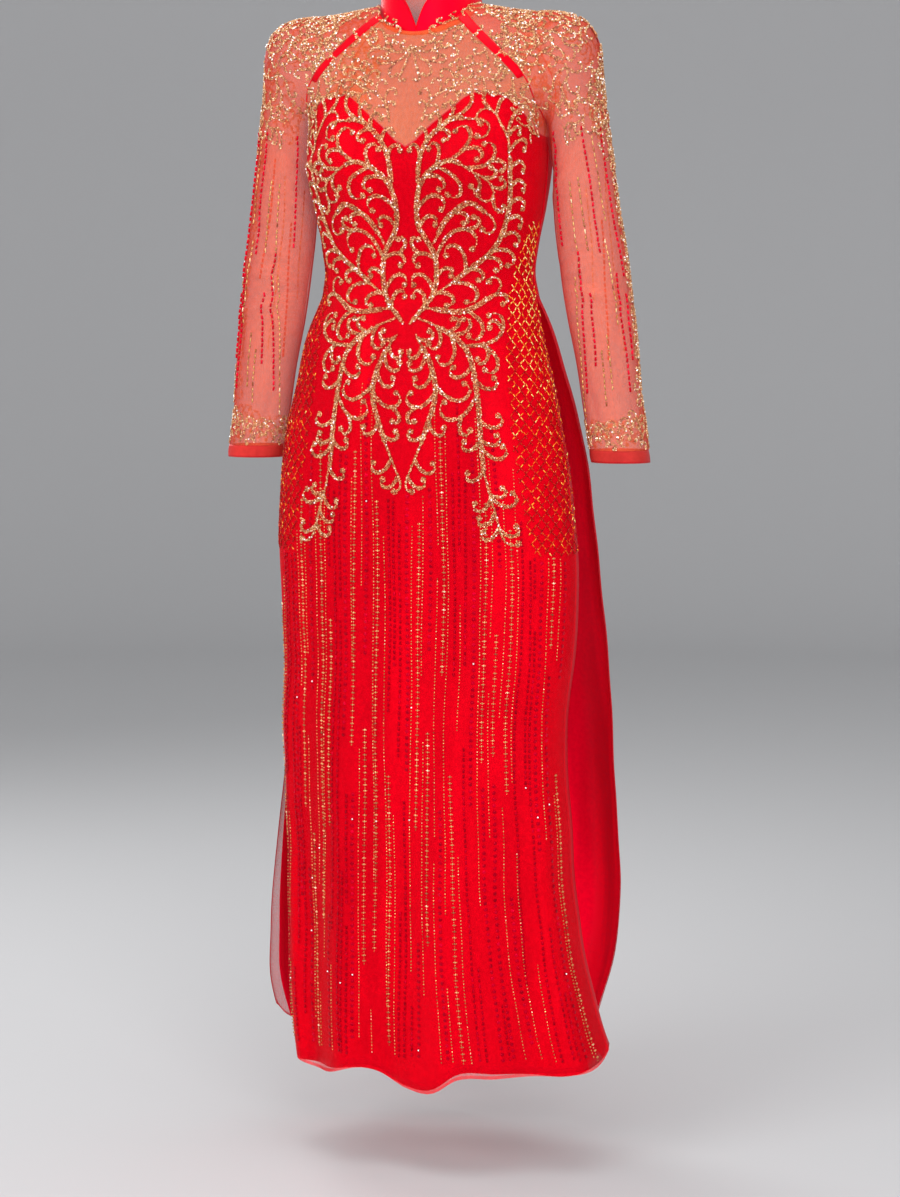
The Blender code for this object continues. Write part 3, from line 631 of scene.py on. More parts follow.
def cord_object(name: str, path: Array, radius: float, sides: int = 6, closed: bool = False) -> Piece:
    """Makes a thin round cord along a path, for pipings and rolled edges.

    Args:
        name: the piece's name.
        path: its points.
        radius: half its thickness.
        sides: corners round it.
        closed: True for a loop.

    Returns:
        The object, at the origin.
    """
    curve = bpy.data.curves.new(name, "CURVE")
    curve.dimensions = "3D"
    curve.bevel_depth, curve.bevel_resolution = radius, max(0, sides // 2 - 2)
    curve.use_fill_caps = not closed
    spline = curve.splines.new("POLY")
    spline.points.add(len(path) - 1)
    spline.points.foreach_set("co", np.concatenate([path, np.ones((len(path), 1))], axis=1).reshape(-1))
    spline.use_cyclic_u = closed
    draft = new_object(name + "_draft", curve)
    mesh = bpy.data.meshes.new_from_object(draft)
    bpy.data.objects.remove(draft)
    mesh.name = name
    mesh.shade_smooth()
    return new_object(name, mesh)


# ---- Materials
class Signal:
    """A socket to calculate with: each step adds a math node."""

    def __init__(self, wire: "Wiring", socket: bpy.types.NodeSocket) -> None:
        """Keeps the socket and the wiring that it belongs to."""
        self.wire, self.socket = wire, socket

    def __add__(self, other: object) -> "Signal":
        """This plus another."""
        return self.wire.math("ADD", self, other)

    def __sub__(self, other: object) -> "Signal":
        """This less another."""
        return self.wire.math("SUBTRACT", self, other)

    def __rsub__(self, other: object) -> "Signal":
        """A number less this."""
        return self.wire.math("SUBTRACT", other, self)

    def __mul__(self, other: object) -> "Signal":
        """This times another."""
        return self.wire.math("MULTIPLY", self, other)

    def __pow__(self, other: object) -> "Signal":
        """This to a power."""
        return self.wire.math("POWER", self, other)


class Wiring:
    """Adds nodes to one tree and links them."""

    def __init__(self, tree: bpy.types.NodeTree) -> None:
        """Keeps the tree."""
        self.tree = tree

    def feed(self, node: bpy.types.Node, inputs: dict[str | int, object]) -> None:
        """Sets or links each input named or numbered."""
        for name, value in inputs.items():
            if isinstance(value, Signal):
                self.tree.links.new(value.socket, node.inputs[name])
            else:
                node.inputs[name].default_value = value

    def add(self, kind: str, inputs: dict[str | int, object] | None = None,
            **settings: object) -> dict[str, Signal]:
        """Adds a node.

        Args:
            kind: its type, without the words ShaderNode.
            inputs: a value or a signal for each input named or numbered.
            **settings: its own properties.

        Returns:
            Its outputs by name.
        """
        node = self.tree.nodes.new("ShaderNode" + kind)
        for name, value in settings.items():
            setattr(node, name, value)
        self.feed(node, inputs or {})
        return {socket.name: Signal(self, socket) for socket in node.outputs if socket.enabled}

    def one(self, kind: str, inputs: dict[str | int, object] | None = None, **settings: object) -> Signal:
        """Adds a node, as add does, and returns its first live output."""
        return next(iter(self.add(kind, inputs, **settings).values()))

    def math(self, operation: str, *values: object, **settings: object) -> Signal:
        """Adds a math node and returns its result."""
        return self.one("Math", dict(enumerate(values)), operation=operation, **settings)

    def blend(self, factor: object, low: object, high: object, mode: str = "MIX") -> Signal:
        """Mixes two colours and returns the result."""
        return self.one("Mix", {0: factor, 6: low, 7: high}, data_type="RGBA", blend_type=mode)

    def shaded(self, colour: object, shade: Signal) -> Signal:
        """Darkens a colour by a shade."""
        return self.blend(1.0, colour, self.one("CombineColor", {0: shade, 1: shade, 2: shade}), "MULTIPLY")

    def band(self, value: object, low: float, high: float, start: float = 0.0, end: float = 1.0) -> Signal:
        """Maps low..high smoothly onto start..end."""
        return self.one("MapRange", {0: value, 1: low, 2: high, 3: start, 4: end},
                        interpolation_type="SMOOTHSTEP")

    def noise(self, place: Signal, scale: object, detail: float, roughness: float = 0.5) -> Signal:
        """Noise over a place."""
        return self.one("TexNoise", {"Vector": place, "Scale": scale, "Detail": detail,
                                     "Roughness": roughness})

    def ramp(self, value: Signal, shades: tuple[tuple[float, Colour], ...]) -> Signal:
        """Turns a value into a colour between shades, each given with its place."""
        node = self.tree.nodes.new("ShaderNodeValToRGB")
        self.feed(node, {"Fac": value})
        stops = node.color_ramp.elements
        while len(stops) < len(shades):
            stops.new(0.5)
        for stop, (place, colour) in zip(stops, shades):
            stop.position, stop.color = place, (*colour, 1.0)
        return Signal(self, node.outputs["Color"])

    def bump(self, height: Signal, strength: float, distance: float) -> Signal:
        """A normal from a height."""
        return self.one("Bump", {"Height": height, "Strength": strength, "Distance": distance})


class Effect:
    """A shader node group being built."""

    def __init__(self, name: str, inputs: dict[str, float | None], outputs: tuple[str, ...]) -> None:
        """Starts the group.

        Args:
            name: the group's name.
            inputs: the starting value of each input, or None for a place.
            outputs: the names of the masks and heights that it puts out.
        """
        self.group = bpy.data.node_groups.new(name, "ShaderNodeTree")
        for label, value in inputs.items():
            kind = "NodeSocketVector" if value is None else "NodeSocketFloat"
            socket = self.group.interface.new_socket(label, in_out="INPUT", socket_type=kind)
            if value is not None:
                socket.default_value = value
        for label in outputs:
            self.group.interface.new_socket(label, in_out="OUTPUT", socket_type="NodeSocketFloat")
        self.wire = Wiring(self.group)
        start = self.group.nodes.new("NodeGroupInput")
        self.given = {label: Signal(self.wire, start.outputs[label]) for label in inputs}

    def close(self, outputs: dict[str, Signal]) -> bpy.types.NodeTree:
        """Wires the outputs and returns the group."""
        self.wire.feed(self.group.nodes.new("NodeGroupOutput"), outputs)
        return self.group


def weave_group() -> bpy.types.NodeTree:
    """Woven threads: the height of the cloth's face and a mask of its warp."""
    effect = Effect("woven_threads", {"Place": None, "Warp": 900.0, "Weft": 700.0}, ("Height", "Warp mask"))
    wire, given = effect.wire, effect.given
    axes = wire.add("SeparateXYZ", {0: given["Place"]})
    wander = wire.noise(given["Place"], 60.0, 2.0) * 1.6
    warp = wire.math("SINE", axes["X"] * (given["Warp"] * TURN) + wander)
    weft = wire.math("SINE", axes["Y"] * (given["Weft"] * TURN) + wander)
    height = warp * weft * 0.35 + warp * 0.15
    return effect.close({"Height": height + 0.5, "Warp mask": wire.band(warp, -0.6, 0.6)})


def net_group() -> bpy.types.NodeTree:
    """Six-sided net: a mask of its threads."""
    effect = Effect("six_sided_net", {"Place": None, "Cells": 900.0, "Bare": 0.35}, ("Thread",))
    wire, given = effect.wire, effect.given
    axes = wire.add("SeparateXYZ", {0: given["Place"]})
    wide, tall = (axes[name] * (given["Cells"] * TURN) for name in "XY")
    half, rise = wide * -0.5, tall * 0.866
    first, second, third = (wire.math("COSINE", wave) for wave in (wide, half + rise, half - rise))
    hole = wire.band(first + (second + third), 0.2, 1.2)
    return effect.close({"Thread": 1.0 - hole * (1.0 - given["Bare"])})


def edge_group() -> bpy.types.NodeTree:
    """A turned hem: a mask of the doubled cloth and of its line of stitches."""
    effect = Effect("turned_hem", {"Distance": 1.0, "Along": 0.0, "Width": 0.010}, ("Doubled", "Stitches"))
    wire, given = effect.wire, effect.given
    past = given["Distance"] - given["Width"]
    near = 1.0 - wire.band(wire.math("ABSOLUTE", past + 0.0012), 0.0002, 0.0007)
    dash = wire.band(wire.math("SINE", given["Along"] * (TURN / 0.0032)), -0.5, 0.0)
    return effect.close({"Doubled": 1.0 - wire.band(past, -0.0004, 0.0004), "Stitches": near * dash})


def tone_group() -> bpy.types.NodeTree:
    """Uneven dye and handling: slow and fine variation over the surface."""
    effect = Effect("uneven_dye", {"Place": None, "Scale": 9.0}, ("Slow", "Fine"))
    wire, place, scale = effect.wire, effect.given["Place"], effect.given["Scale"]
    return effect.close({"Slow": wire.band(wire.noise(place, scale, 3.0, 0.55), 0.3, 0.7),
                         "Fine": wire.band(wire.noise(place, scale * 22.0, 2.0), 0.25, 0.75)})


@dataclass(frozen=True)
class ClothGroups:
    """The shared effects, built once."""

    weave: bpy.types.NodeTree
    net: bpy.types.NodeTree
    hem: bpy.types.NodeTree
    tone: bpy.types.NodeTree


def new_material(name: str) -> tuple[Material, Wiring, bpy.types.Node]:
    """Starts a material and returns it, its wiring and its Principled shader."""
    material = bpy.data.materials.new(name)
    material.use_nodes = True
    return material, Wiring(material.node_tree), material.node_tree.nodes["Principled BSDF"]


class ClothDraft:
    """A cloth material being wired, with the places, tones and hems that every cloth finish reads."""

    def __init__(self, name: str, groups: ClothGroups, hem_width: float) -> None:
        """Starts the material.

        Args:
            name: its name.
            groups: the shared effects.
            hem_width: how far its hems are turned in.
        """
        self.material, self.wire, self.shader = new_material(name)
        self.place = self.wire.one("UVMap", uv_map="cloth")
        self.spot = self.wire.add("TexCoord")["Object"]
        self.edge = self.wire.add("Attribute", attribute_name="edge")["Fac"]
        axes = self.wire.add("SeparateXYZ", {0: self.place})
        self.tone = self.wire.add("Group", {"Place": self.spot}, node_tree=groups.tone)
        self.hem = self.wire.add("Group", {"Distance": self.edge, "Along": axes["X"] + axes["Y"],
                                           "Width": hem_width},
                                 node_tree=groups.hem)


@dataclass(frozen=True)
class SatinFinish:
    """Opaque red dress satin with a soft sheen, woven face, turned hems, painted fold shade in streaks and an
    optional painted glow.
    """

    name: str
    light: Colour
    deep: Colour
    roughness: float = 0.42
    hem_width: float = 0.011
    warp: float = 1100.0
    weft: float = 850.0
    painted_glow: float = 0.0

    def build(self, groups: ClothGroups) -> Material:
        """Makes the material."""
        draft = ClothDraft(self.name, groups, self.hem_width)
        wire, tone, hem = draft.wire, draft.tone, draft.hem
        weave = wire.add("Group", {"Place": draft.place, "Warp": self.warp, "Weft": self.weft},
                         node_tree=groups.weave)
        # Long upright noise darkens the colour in soft streaks: painted shade standing in for the shade in
        # the folds.
        tall = wire.one("Mapping", {"Vector": draft.spot, "Scale": (15.0, 15.0, 1.3)})
        painted_fold_shade = wire.band(wire.noise(tall, 1.0, 3.0), 0.36, 0.60, 0.64, 1.0)
        colour = wire.blend(tone["Slow"], (*self.deep, 1), (*self.light, 1))
        colour = wire.shaded(colour, (tone["Fine"] * 0.12 + 0.92) * painted_fold_shade)
        colour = wire.blend(hem["Stitches"] * 0.55, colour, (0.42, 0.0, 0.012, 1))
        colour = wire.blend(hem["Doubled"] * 0.22, colour, (0.55, 0.0, 0.010, 1))
        rough = weave["Warp mask"] * -0.08 + (tone["Fine"] * 0.10 + self.roughness)
        height = weave["Height"] * 0.12 + (hem["Doubled"] * 1.0 + hem["Stitches"] * -0.8)
        # Emission of the satin's own colour: a painted glow that lifts cloth lying in shade.
        if self.painted_glow > 0:
            wire.feed(draft.shader, {"Emission Color": colour, "Emission Strength": self.painted_glow})
        wire.feed(draft.shader, {
            "Base Color": colour, "Roughness": rough, "Normal": wire.bump(height, 0.5, 0.0005),
            "Sheen Weight": .12, "Sheen Roughness": .45, "Sheen Tint": (1.0, .02, .05, 1.0),
            "Specular IOR Level": .45, "Specular Tint": (1.0, .03, .06, 1.0)})
        return draft.material


@dataclass(frozen=True)
class NetFinish:
    """Sheer six-sided red net, denser along its turned edges."""

    name: str
    lined: Colour
    unlined: Colour
    cover: float
    bare: float = 0.35
    cells: float = 820.0
    hem_width: float = 0.004

    def build(self, groups: ClothGroups) -> Material:
        """Makes the material."""
        draft = ClothDraft(self.name, groups, self.hem_width)
        wire, tone = draft.wire, draft.tone
        thread = wire.one("Group", {"Place": draft.place, "Cells": self.cells, "Bare": self.bare},
                          node_tree=groups.net)
        facing = wire.add("LayerWeight", {"Blend": 0.35})["Facing"]
        cover = thread * self.cover * (tone["Slow"] * 0.16 + 0.92)
        cover = cover + draft.hem["Doubled"] * 0.30 + facing ** 1.6 * 0.65
        unlined = wire.band(draft.edge, 0.6 * UNLINED, 0.9 * UNLINED) * (1.0 - facing ** 0.9)
        colour = wire.blend(unlined, (*self.lined, 1), (*self.unlined, 1))
        wire.feed(draft.shader, {
            "Base Color": wire.shaded(colour, wire.band(tone["Fine"], 0.0, 1.0, 0.84, 1.0)),
            "Alpha": wire.math("ADD", cover, 0.0, use_clamp=True), "Normal": wire.bump(thread, 0.3, 0.0002),
            "Roughness": .6, "Sheen Weight": .04, "Sheen Tint": (1.0, .06, .05, 1.0),
            "Specular IOR Level": .12, "Specular Tint": (1.0, .1, .1, 1.0)})
        return draft.material


# ---- Garment pieces
class Side(Enum):
    """The wearer's left or right."""

    LEFT = 1
    RIGHT = -1

    @property
    def label(self) -> str:
        """The side's name in piece names."""
        return self.name.lower()

    @property
    def mirror(self) -> Array:
        """Turns a +X point into one of this side."""
        return np.array([self.value, 1.0, 1.0])


@dataclass(frozen=True)
class Cut:
    """A sheet's flat size before sewing, in metres, with its area where it isn't a plain rectangle."""

    across: float
    along: float
    area: float | None = None
    held: str = "hung"

    def declare(self, piece: Piece, with_pieces: list[Piece] | tuple = ()) -> None:
        """Takes a piece and what is sewn on it, and does nothing with them."""


def side_distance(across: Array) -> Array:
    """How far each point lies from the nearer side edge, from the distances across."""
    return np.minimum(across - across[:, :1], across[:, -1:] - across)


def edge_distance(grid: Array, slit_row: int) -> Array:
    """How far each point lies from the nearest open edge.

    Args:
        grid: the layer's own points.
        slit_row: the row below which the side edges are open too.

    Returns:
        A distance for each point.
    """
    across, down = arc_lengths(grid)
    side = side_distance(across)
    side[:slit_row + 1] = 1.0
    return np.minimum(down[-1][None] - down, side)


def finish_piece(piece: Piece, material: Material, slot: str, *nodes: str) -> Piece:
    """Gives a piece its material, lets it ride on the tunic and stand for its solids."""
    piece.data.materials.clear()
    piece.data.materials.append(material)
    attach(piece, "root")
    if nodes:
        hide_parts(*nodes)
    LOG.info("%s: %d faces", piece.name, len(piece.data.polygons))
    return piece


@dataclass
class TunicPanel:
    """The front or the back: an outer net and an inner satin cut from one shape."""

    shape: PanelShape
    net_cut: Cut
    satin_cut: Cut
    net_thick: float = 0.0003
    satin_thick: float = 0.0006
    hem_drop: float = 0.007
    hem_rows: int = 5
    grid: Array = field(init=False)
    normals: Array = field(init=False)
    top_row: int = field(init=False)
    slit_row: int = field(init=False)

    def __post_init__(self) -> None:
        """Lays out the shared grid."""
        plain, self.top_row, self.slit_row = self.shape.grid()
        normals = grid_normals(plain) * (-1.0 if self.shape.back else 1.0)
        extra = self.shape.edge_columns
        for row in range(self.slit_row + 1):
            normals[row, :extra] = normals[row, extra]
            normals[row, -extra:] = normals[row, -extra - 1]
        self.grid = self.shape.crumple(plain, normals)
        self.normals = normals

    @property
    def label(self) -> str:
        """front or back."""
        return "back" if self.shape.back else "front"

    def layer(self, name: str, wide: bool, first_row: int, step: float) -> Piece:
        """Makes one layer.

        Args:
            name: the piece's name.
            wide: True to keep the extra columns along the open side edges.
            first_row: where the layer starts.
            step: how far it lies inside the outer surface.

        Returns:
            The cloth as one surface.
        """
        extra = self.shape.edge_columns
        columns = slice(None) if wide else slice(extra, -extra)
        points = (self.grid - self.normals * step)[first_row:, columns]
        slit = self.slit_row - first_row
        skip = None
        if wide:
            skip = np.zeros(points.shape[:2], dtype=bool)
            skip[:slit, :extra] = skip[:slit, -extra:] = True
        edge = edge_distance(points, slit)
        if first_row == 0:
            edge[:self.top_row] += UNLINED
            points = self.drop_hem(points)
        return sheet_object(name, points, not self.shape.back, edge, skip)

    def drop_hem(self, points: Array) -> Array:
        """Lets the net's hem hang a little below the satin's, here more and there less."""
        place = np.linspace(-1, 1, points.shape[1])
        drop = self.hem_drop * (.45 + .55 * np.sin(8.5 * place - .4)) * smoothstep(0.0, .2, 1 - np.abs(place))
        share = smoothstep(-self.hem_rows, 0, np.arange(-len(points), 0) + 1.0)
        lowered = points.copy()
        lowered[..., 2] -= share[:, None] * drop
        return lowered

    def build(self, net: Material, satin: Material) -> dict[str, Piece]:
        """Makes and dresses both layers."""
        back = self.shape.back
        outer = self.layer(self.label + "_net", back, 0, self.net_thick)
        inner = self.layer(self.label + "_lining", not back, self.top_row, LAYER_STEP)
        give_wall(inner, self.satin_thick, -1.0)
        finish_piece(outer, net, "sheer_net" if back else "beaded_net", self.label + "_mesh")
        finish_piece(inner, satin, "satin", self.label + "_satin")
        return {"net": outer, "satin": inner}


@dataclass
class SleeveShape:
    """One sleeve's surface, from the neck seam to the cuff."""

    side: Side
    columns: int = 72
    cap_rows: int = 34
    tube_rows: int = 96

    def ring(self, turn: Array, z: Array) -> Array:
        """Points of the sleeve below the underarm, creases included, on this side."""
        turn, z = paired(turn, z)
        points = arm_ring(turn, z)
        normal = self.ring_normal(turn)
        fade = smoothstep(0.0, .05, UNDERARM_Z + .02 - z) * smoothstep(0.0, .02, z - CUFF_TOP_Z)
        place = (turn - 0.25) * 0.26 * (1 if self.side is Side.LEFT else 0.9)
        shift = 0.0 if self.side is Side.LEFT else 0.014
        height = crease_height(SLEEVE_CREASES, place, z + shift) * fade
        return (points + normal * height[..., None]) * self.side.mirror

    @staticmethod
    def ring_normal(turn: Array) -> Array:
        """Outward directions of the level ring on the +X side."""
        angle = 2 * pi * turn
        return np.stack([-np.cos(angle), -np.sin(angle), np.zeros_like(turn)], axis=-1)

    def grid(self) -> Array:
        """Rows of points from the neck seam to the cuff."""
        turn = np.linspace(0, 1, self.columns + 1)
        down = 1 - (1 - np.arange(self.cap_rows) / self.cap_rows) ** 1.15
        cap = sleeve_cap(turn[None, :], down[:, None]) * self.side.mirror
        levels = np.linspace(UNDERARM_Z, CUFF_TOP_Z, self.tube_rows + 1)
        return np.concatenate([cap, self.ring(turn[None, :], levels[:, None])])


@dataclass
class Sleeve:
    """One long raglan sleeve of net with its folded cuff."""

    side: Side
    cut: Cut = Cut(0.31, 0.62, 0.150)
    cuff_cut: Cut = Cut(0.235, 0.016, held="stretched")
    cuff_rows: int = 6
    cuff_thick: float = 0.0010

    def build(self, net: Material, satin: Material,
              beadwork: list[Piece]) -> None:
        """Makes and dresses the sleeve and its cuff."""
        shape = SleeveShape(self.side)
        grid, name = shape.grid(), self.side.label
        sleeve = sheet_object("sleeve_net_" + name, grid, self.side is Side.LEFT,
                              np.full(grid.shape[:2], UNLINED))
        finish_piece(sleeve, net, "sleeve_net", "sleeve_" + name)
        cuff = self.cuff(shape, satin)
        self.cut.declare(sleeve, beadwork)
        self.cuff_cut.declare(cuff)

    def cuff(self, shape: SleeveShape, satin: Material) -> Piece:
        """The folded band at the wrist, a little fuller at its lower fold."""
        turn = np.linspace(0, 1, shape.columns + 1)
        rows = []
        for share in np.linspace(0, 1, self.cuff_rows + 1):
            level = CUFF_TOP_Z + (CUFF_END_Z - CUFF_TOP_Z) * share
            bulge = 0.0006 * sin(pi * share) + 0.0003 * np.sin(turn * 2 * pi * 5 + share * 2)
            points = arm_ring(turn, level) + shape.ring_normal(turn) * bulge[:, None]
            rows.append(points * shape.side.mirror)
        grid = np.array(rows)
        grid[:, -1] = grid[:, 0]
        down = arc_lengths(grid)[1]
        piece = sheet_object("cuff_band_" + self.side.label, grid, self.side is Side.LEFT,
                             down[-1][None] - down)
        give_wall(piece, self.cuff_thick, -1.0)
        return finish_piece(piece, satin, "satin", "cuff_" + self.side.label)


@dataclass
class Collar:
    """The stand collar, rising from the neck seam to a notch in front."""

    columns: int = 180
    rows: int = 10
    thick: float = 0.0020
    lean_back: float = 0.16
    base_rise: float = 0.0018
    gather: float = 1.35
    curve_power: float = 0.85
    cut: Cut = Cut(0.385, 0.041, 0.0150, "stretched")

    def height(self, angle: Array) -> Array:
        """The collar's height round from centre front."""
        share = np.clip(np.abs(angle) / NOTCH_TURN, 0, 1)
        return NOTCH_JOIN + (COLLAR_HEIGHT - NOTCH_JOIN) * np.sin(share * pi / 2) ** self.curve_power

    def surface(self, angle: Array, share: Array | float) -> Array:
        """Points of the collar, with share running from 0 at the neck seam to 1 at its top edge."""
        ring = neck_ring(angle)
        axis = np.array([0.0, -self.lean_back, 1.0]) / np.hypot(self.lean_back, 1.0)
        inward = unit(-ring * np.array([1, 1, 0]))
        rise = self.base_rise + np.asarray(share)[..., None] * self.height(angle)[:, None]
        return ring + axis * rise + inward * rise * COLLAR_LEAN

    def build(self, cloth: Material, piping: Material) -> None:
        """Makes the collar and its corded top edge."""
        angle = np.linspace(-pi, pi, self.columns + 1)
        angle = np.sign(angle) * pi * (np.abs(angle) / pi) ** self.gather
        grid = np.array([self.surface(angle, share) for share in np.linspace(1, 0, self.rows + 1)])
        grid[:, -1] = grid[:, 0]
        piece = sheet_object("stand_collar", grid, True, arc_lengths(grid)[1])
        give_wall(piece, self.thick, 0.0, 0.0006)
        finish_piece(piece, cloth, "collar_cloth", "collar")
        edge = cord_object("collar_edge_cord", grid[0][:-1], 0.0012, 8, closed=True)
        finish_piece(edge, piping, "collar_cloth")
        self.cut.declare(piece, [edge])


@dataclass
class RaglanBand:
    """A satin strip laid down one raglan seam of the front yoke."""

    side: Side
    lift: float = 0.0002
    thick: float = 0.0005
    fine_rows: int = 25
    fine_columns: int = 5
    cut: Cut = Cut(0.014, 0.112, held="stretched")

    def strip(self, panel: TunicPanel) -> Array:
        """The strip's face, just off the net."""
        inner = slice(panel.shape.edge_columns, -panel.shape.edge_columns)
        columns = (slice(-self.fine_columns - 1, None) if self.side is Side.LEFT
                   else slice(0, self.fine_columns + 1))
        return (panel.grid + panel.normals * self.lift)[:self.fine_rows + 1, inner][:, columns]

    def build(self, panel: TunicPanel, satin: Material) -> None:
        """Makes and dresses the strip."""
        strip = self.strip(panel)
        piece = sheet_object("raglan_strip_" + self.side.label, strip, True,
                             side_distance(arc_lengths(strip)[0]))
        give_wall(piece, self.thick, 1.0)
        finish_piece(piece, satin, "satin", "raglan_band_" + self.side.label)
        self.cut.declare(piece)


@dataclass
class Seams:
    """Corded seams: the raglan seams, the side seams and the neck seam."""

    radius: float = 0.0008
    neck_radius: float = 0.0020

    def build(self, front: TunicPanel, back: TunicPanel, thread: Material) -> None:
        """Makes and dresses the cords."""
        pieces = []
        down = 1 - (1 - np.linspace(0.01, 1, 40)) ** 1.15
        for side in Side:
            for name, turn in (("front", 0.0), ("back", 1.0)):
                path = sleeve_cap(turn, down) * side.mirror
                pieces.append(cord_object(f"raglan_seam_{name}_{side.label}", path, self.radius))
            column = -front.shape.edge_columns - 1 if side is Side.LEFT else front.shape.edge_columns
            path = (front.grid[front.top_row:front.slit_row + 1, column]
                    + back.grid[back.top_row:back.slit_row + 1, column]) / 2
            pieces.append(cord_object(f"side_seam_{side.label}", path[2:], self.radius))
        angle = np.linspace(-pi, pi, 121)[:-1]
        ring = neck_ring(angle)
        seat = unit(ring * np.array([1, 1, 0])) * self.neck_radius * 0.5
        pieces.append(cord_object("neck_seam", ring + seat, self.neck_radius, 8, closed=True))
        for piece in pieces:
            finish_piece(piece, thread, "satin")


# ---- Beadwork: flat patterns
PATH_STEP = 0.0015


def curl_path(x: float, z: float, heading: float, length: float, bend: float, curl: float,
              power: float) -> Array:
    """A stroke that bends slowly and then curls in.

    Args:
        x: where it starts.
        z: the height where it starts.
        heading: its first direction, in degrees from +X towards +Z.
        length: its length.
        bend: how far it turns evenly, in degrees.
        curl: how far it turns besides, mostly at its end.
        power: how late that turn comes.

    Returns:
        Its points, as x, z and heading in degrees.
    """
    count = max(8, int(length / PATH_STEP))
    share = np.linspace(0, 1, count + 1)
    turn = heading + bend * share + curl * share**power
    middle = np.radians((turn[1:] + turn[:-1]) / 2)
    pace = length / count
    return np.stack([x + np.concatenate([[0], np.cumsum(np.cos(middle) * pace)]),
                     z + np.concatenate([[0], np.cumsum(np.sin(middle) * pace)]), turn], axis=1)


@dataclass(frozen=True)
class Stem:
    """A main stroke of a scroll pattern: a smooth line through a few places, ending in a curl."""

    places: tuple[tuple[float, float], ...]
    curl: float = 240.0
    tail: float = 0.040
    width: float = 0.0056

    def path(self) -> Array:
        """Its points, as x, z and heading in degrees."""
        rough = np.array(self.places)
        line = resample(np.stack([rough, rough], axis=1), np.linspace(0, len(rough) - 1, 60 * len(rough)),
                        np.zeros(1))[:, 0]
        run = np.concatenate([[0], np.cumsum(np.hypot(*np.diff(line, axis=0).T))])
        even = np.linspace(0, run[-1], int(run[-1] / PATH_STEP) + 2)
        x, z = np.interp(even, run, line[:, 0]), np.interp(even, run, line[:, 1])
        heading = np.degrees(np.unwrap(np.arctan2(np.gradient(z), np.gradient(x))))
        path = np.stack([x, z, heading], axis=1)
        return np.concatenate([path, curl_path(x[-1], z[-1], heading[-1], self.tail, 0.0, self.curl,
                                               1.7)[1:]])


@dataclass
class ScrollDesign:
    """A scroll pattern: stems given by a few places, and leaves that grow where there is room."""

    stems: tuple[Stem, ...]
    outline: dict[str, tuple[tuple[float, float], ...]]
    mirror: bool = True
    gap: float = 0.0066
    leaf_width: float = 0.0048
    sizes: tuple[float, ...] = (.09, .078, .068, .059, .051, .044, .038, .032)
    rounds: tuple[tuple[float, float], ...] = ((.09, .021), (.068, .012), (.051, .0075))
    angles: tuple[float, ...] = (18.0, 34.0, 48.0)
    root_clear: float = 0.0125
    sparse_below: float = -9.0

    def allowed(self, x: Array, z: Array) -> Array:
        """True inside the pattern's outline."""
        edge = {name: np.array(rows) for name, rows in self.outline.items()}
        side = np.interp(-z, -edge["side"][:, 0], edge["side"][:, 1])
        top = np.interp(np.abs(x), *edge["top"].T)
        foot = np.interp(np.abs(x), *edge["foot"].T)
        clear = np.abs(x) > 0.0035 if self.mirror else True
        return (np.abs(x) < side) & (z < top) & (z > foot) & clear

    def strokes(self) -> list[tuple[Array, float]]:
        """Grows the pattern and returns each stroke's path and width."""
        self.drawn, self.taken = [], np.empty((0, 2))
        for stem in self.stems:
            self.draw(stem.path(), stem.width)
        for longest, pitch in self.rounds:
            lengths = [length for length in self.sizes if length <= longest]
            for path, width in list(self.drawn):
                first = int((0.005 if width > self.leaf_width else 0.010) / PATH_STEP)
                for turn, index in enumerate(range(first, len(path) - 14, int(pitch / PATH_STEP))):
                    sparse = path[index, 1] < self.sparse_below
                    sides = (1, -1) if turn % 2 else (-1, 1)
                    for side in () if sparse and turn % 3 else sides[:1] if sparse else sides:
                        self.sprout(path[index], side, lengths)
        if not self.mirror:
            return self.drawn
        images = [(path * np.array([-1, 1, -1]) + np.array([0, 0, 180]), width) for path, width in self.drawn]
        return self.drawn + images

    def draw(self, path: Array, width: float) -> None:
        """Keeps a stroke and marks the room that it takes."""
        self.drawn.append((path, width))
        dots = path[::3, :2]
        if self.mirror:
            dots = np.concatenate([dots, dots * np.array([-1, 1])])
        self.taken = np.concatenate([self.taken, dots])

    def sprout(self, root: Array, side: int, lengths: list[float]) -> None:
        """Draws the longest leaf that fits at a place of a stroke, if any does."""
        x, z, heading = root
        near = self.taken[np.abs(self.taken - root[:2]).max(axis=1) < lengths[0] * 0.75]
        for length in lengths:
            for angle in self.angles:
                leaf = curl_path(x, z, heading + side * angle, length, side * 12, side * 215, 2.4)
                tip = leaf[int(self.root_clear / PATH_STEP)::2]
                if not self.allowed(tip[:, 0], tip[:, 1]).all():
                    continue
                if np.hypot(tip[:, None, 0] - near[:, 0], tip[:, None, 1] - near[:, 1]).min() > self.gap:
                    self.draw(leaf, self.leaf_width)
                    return


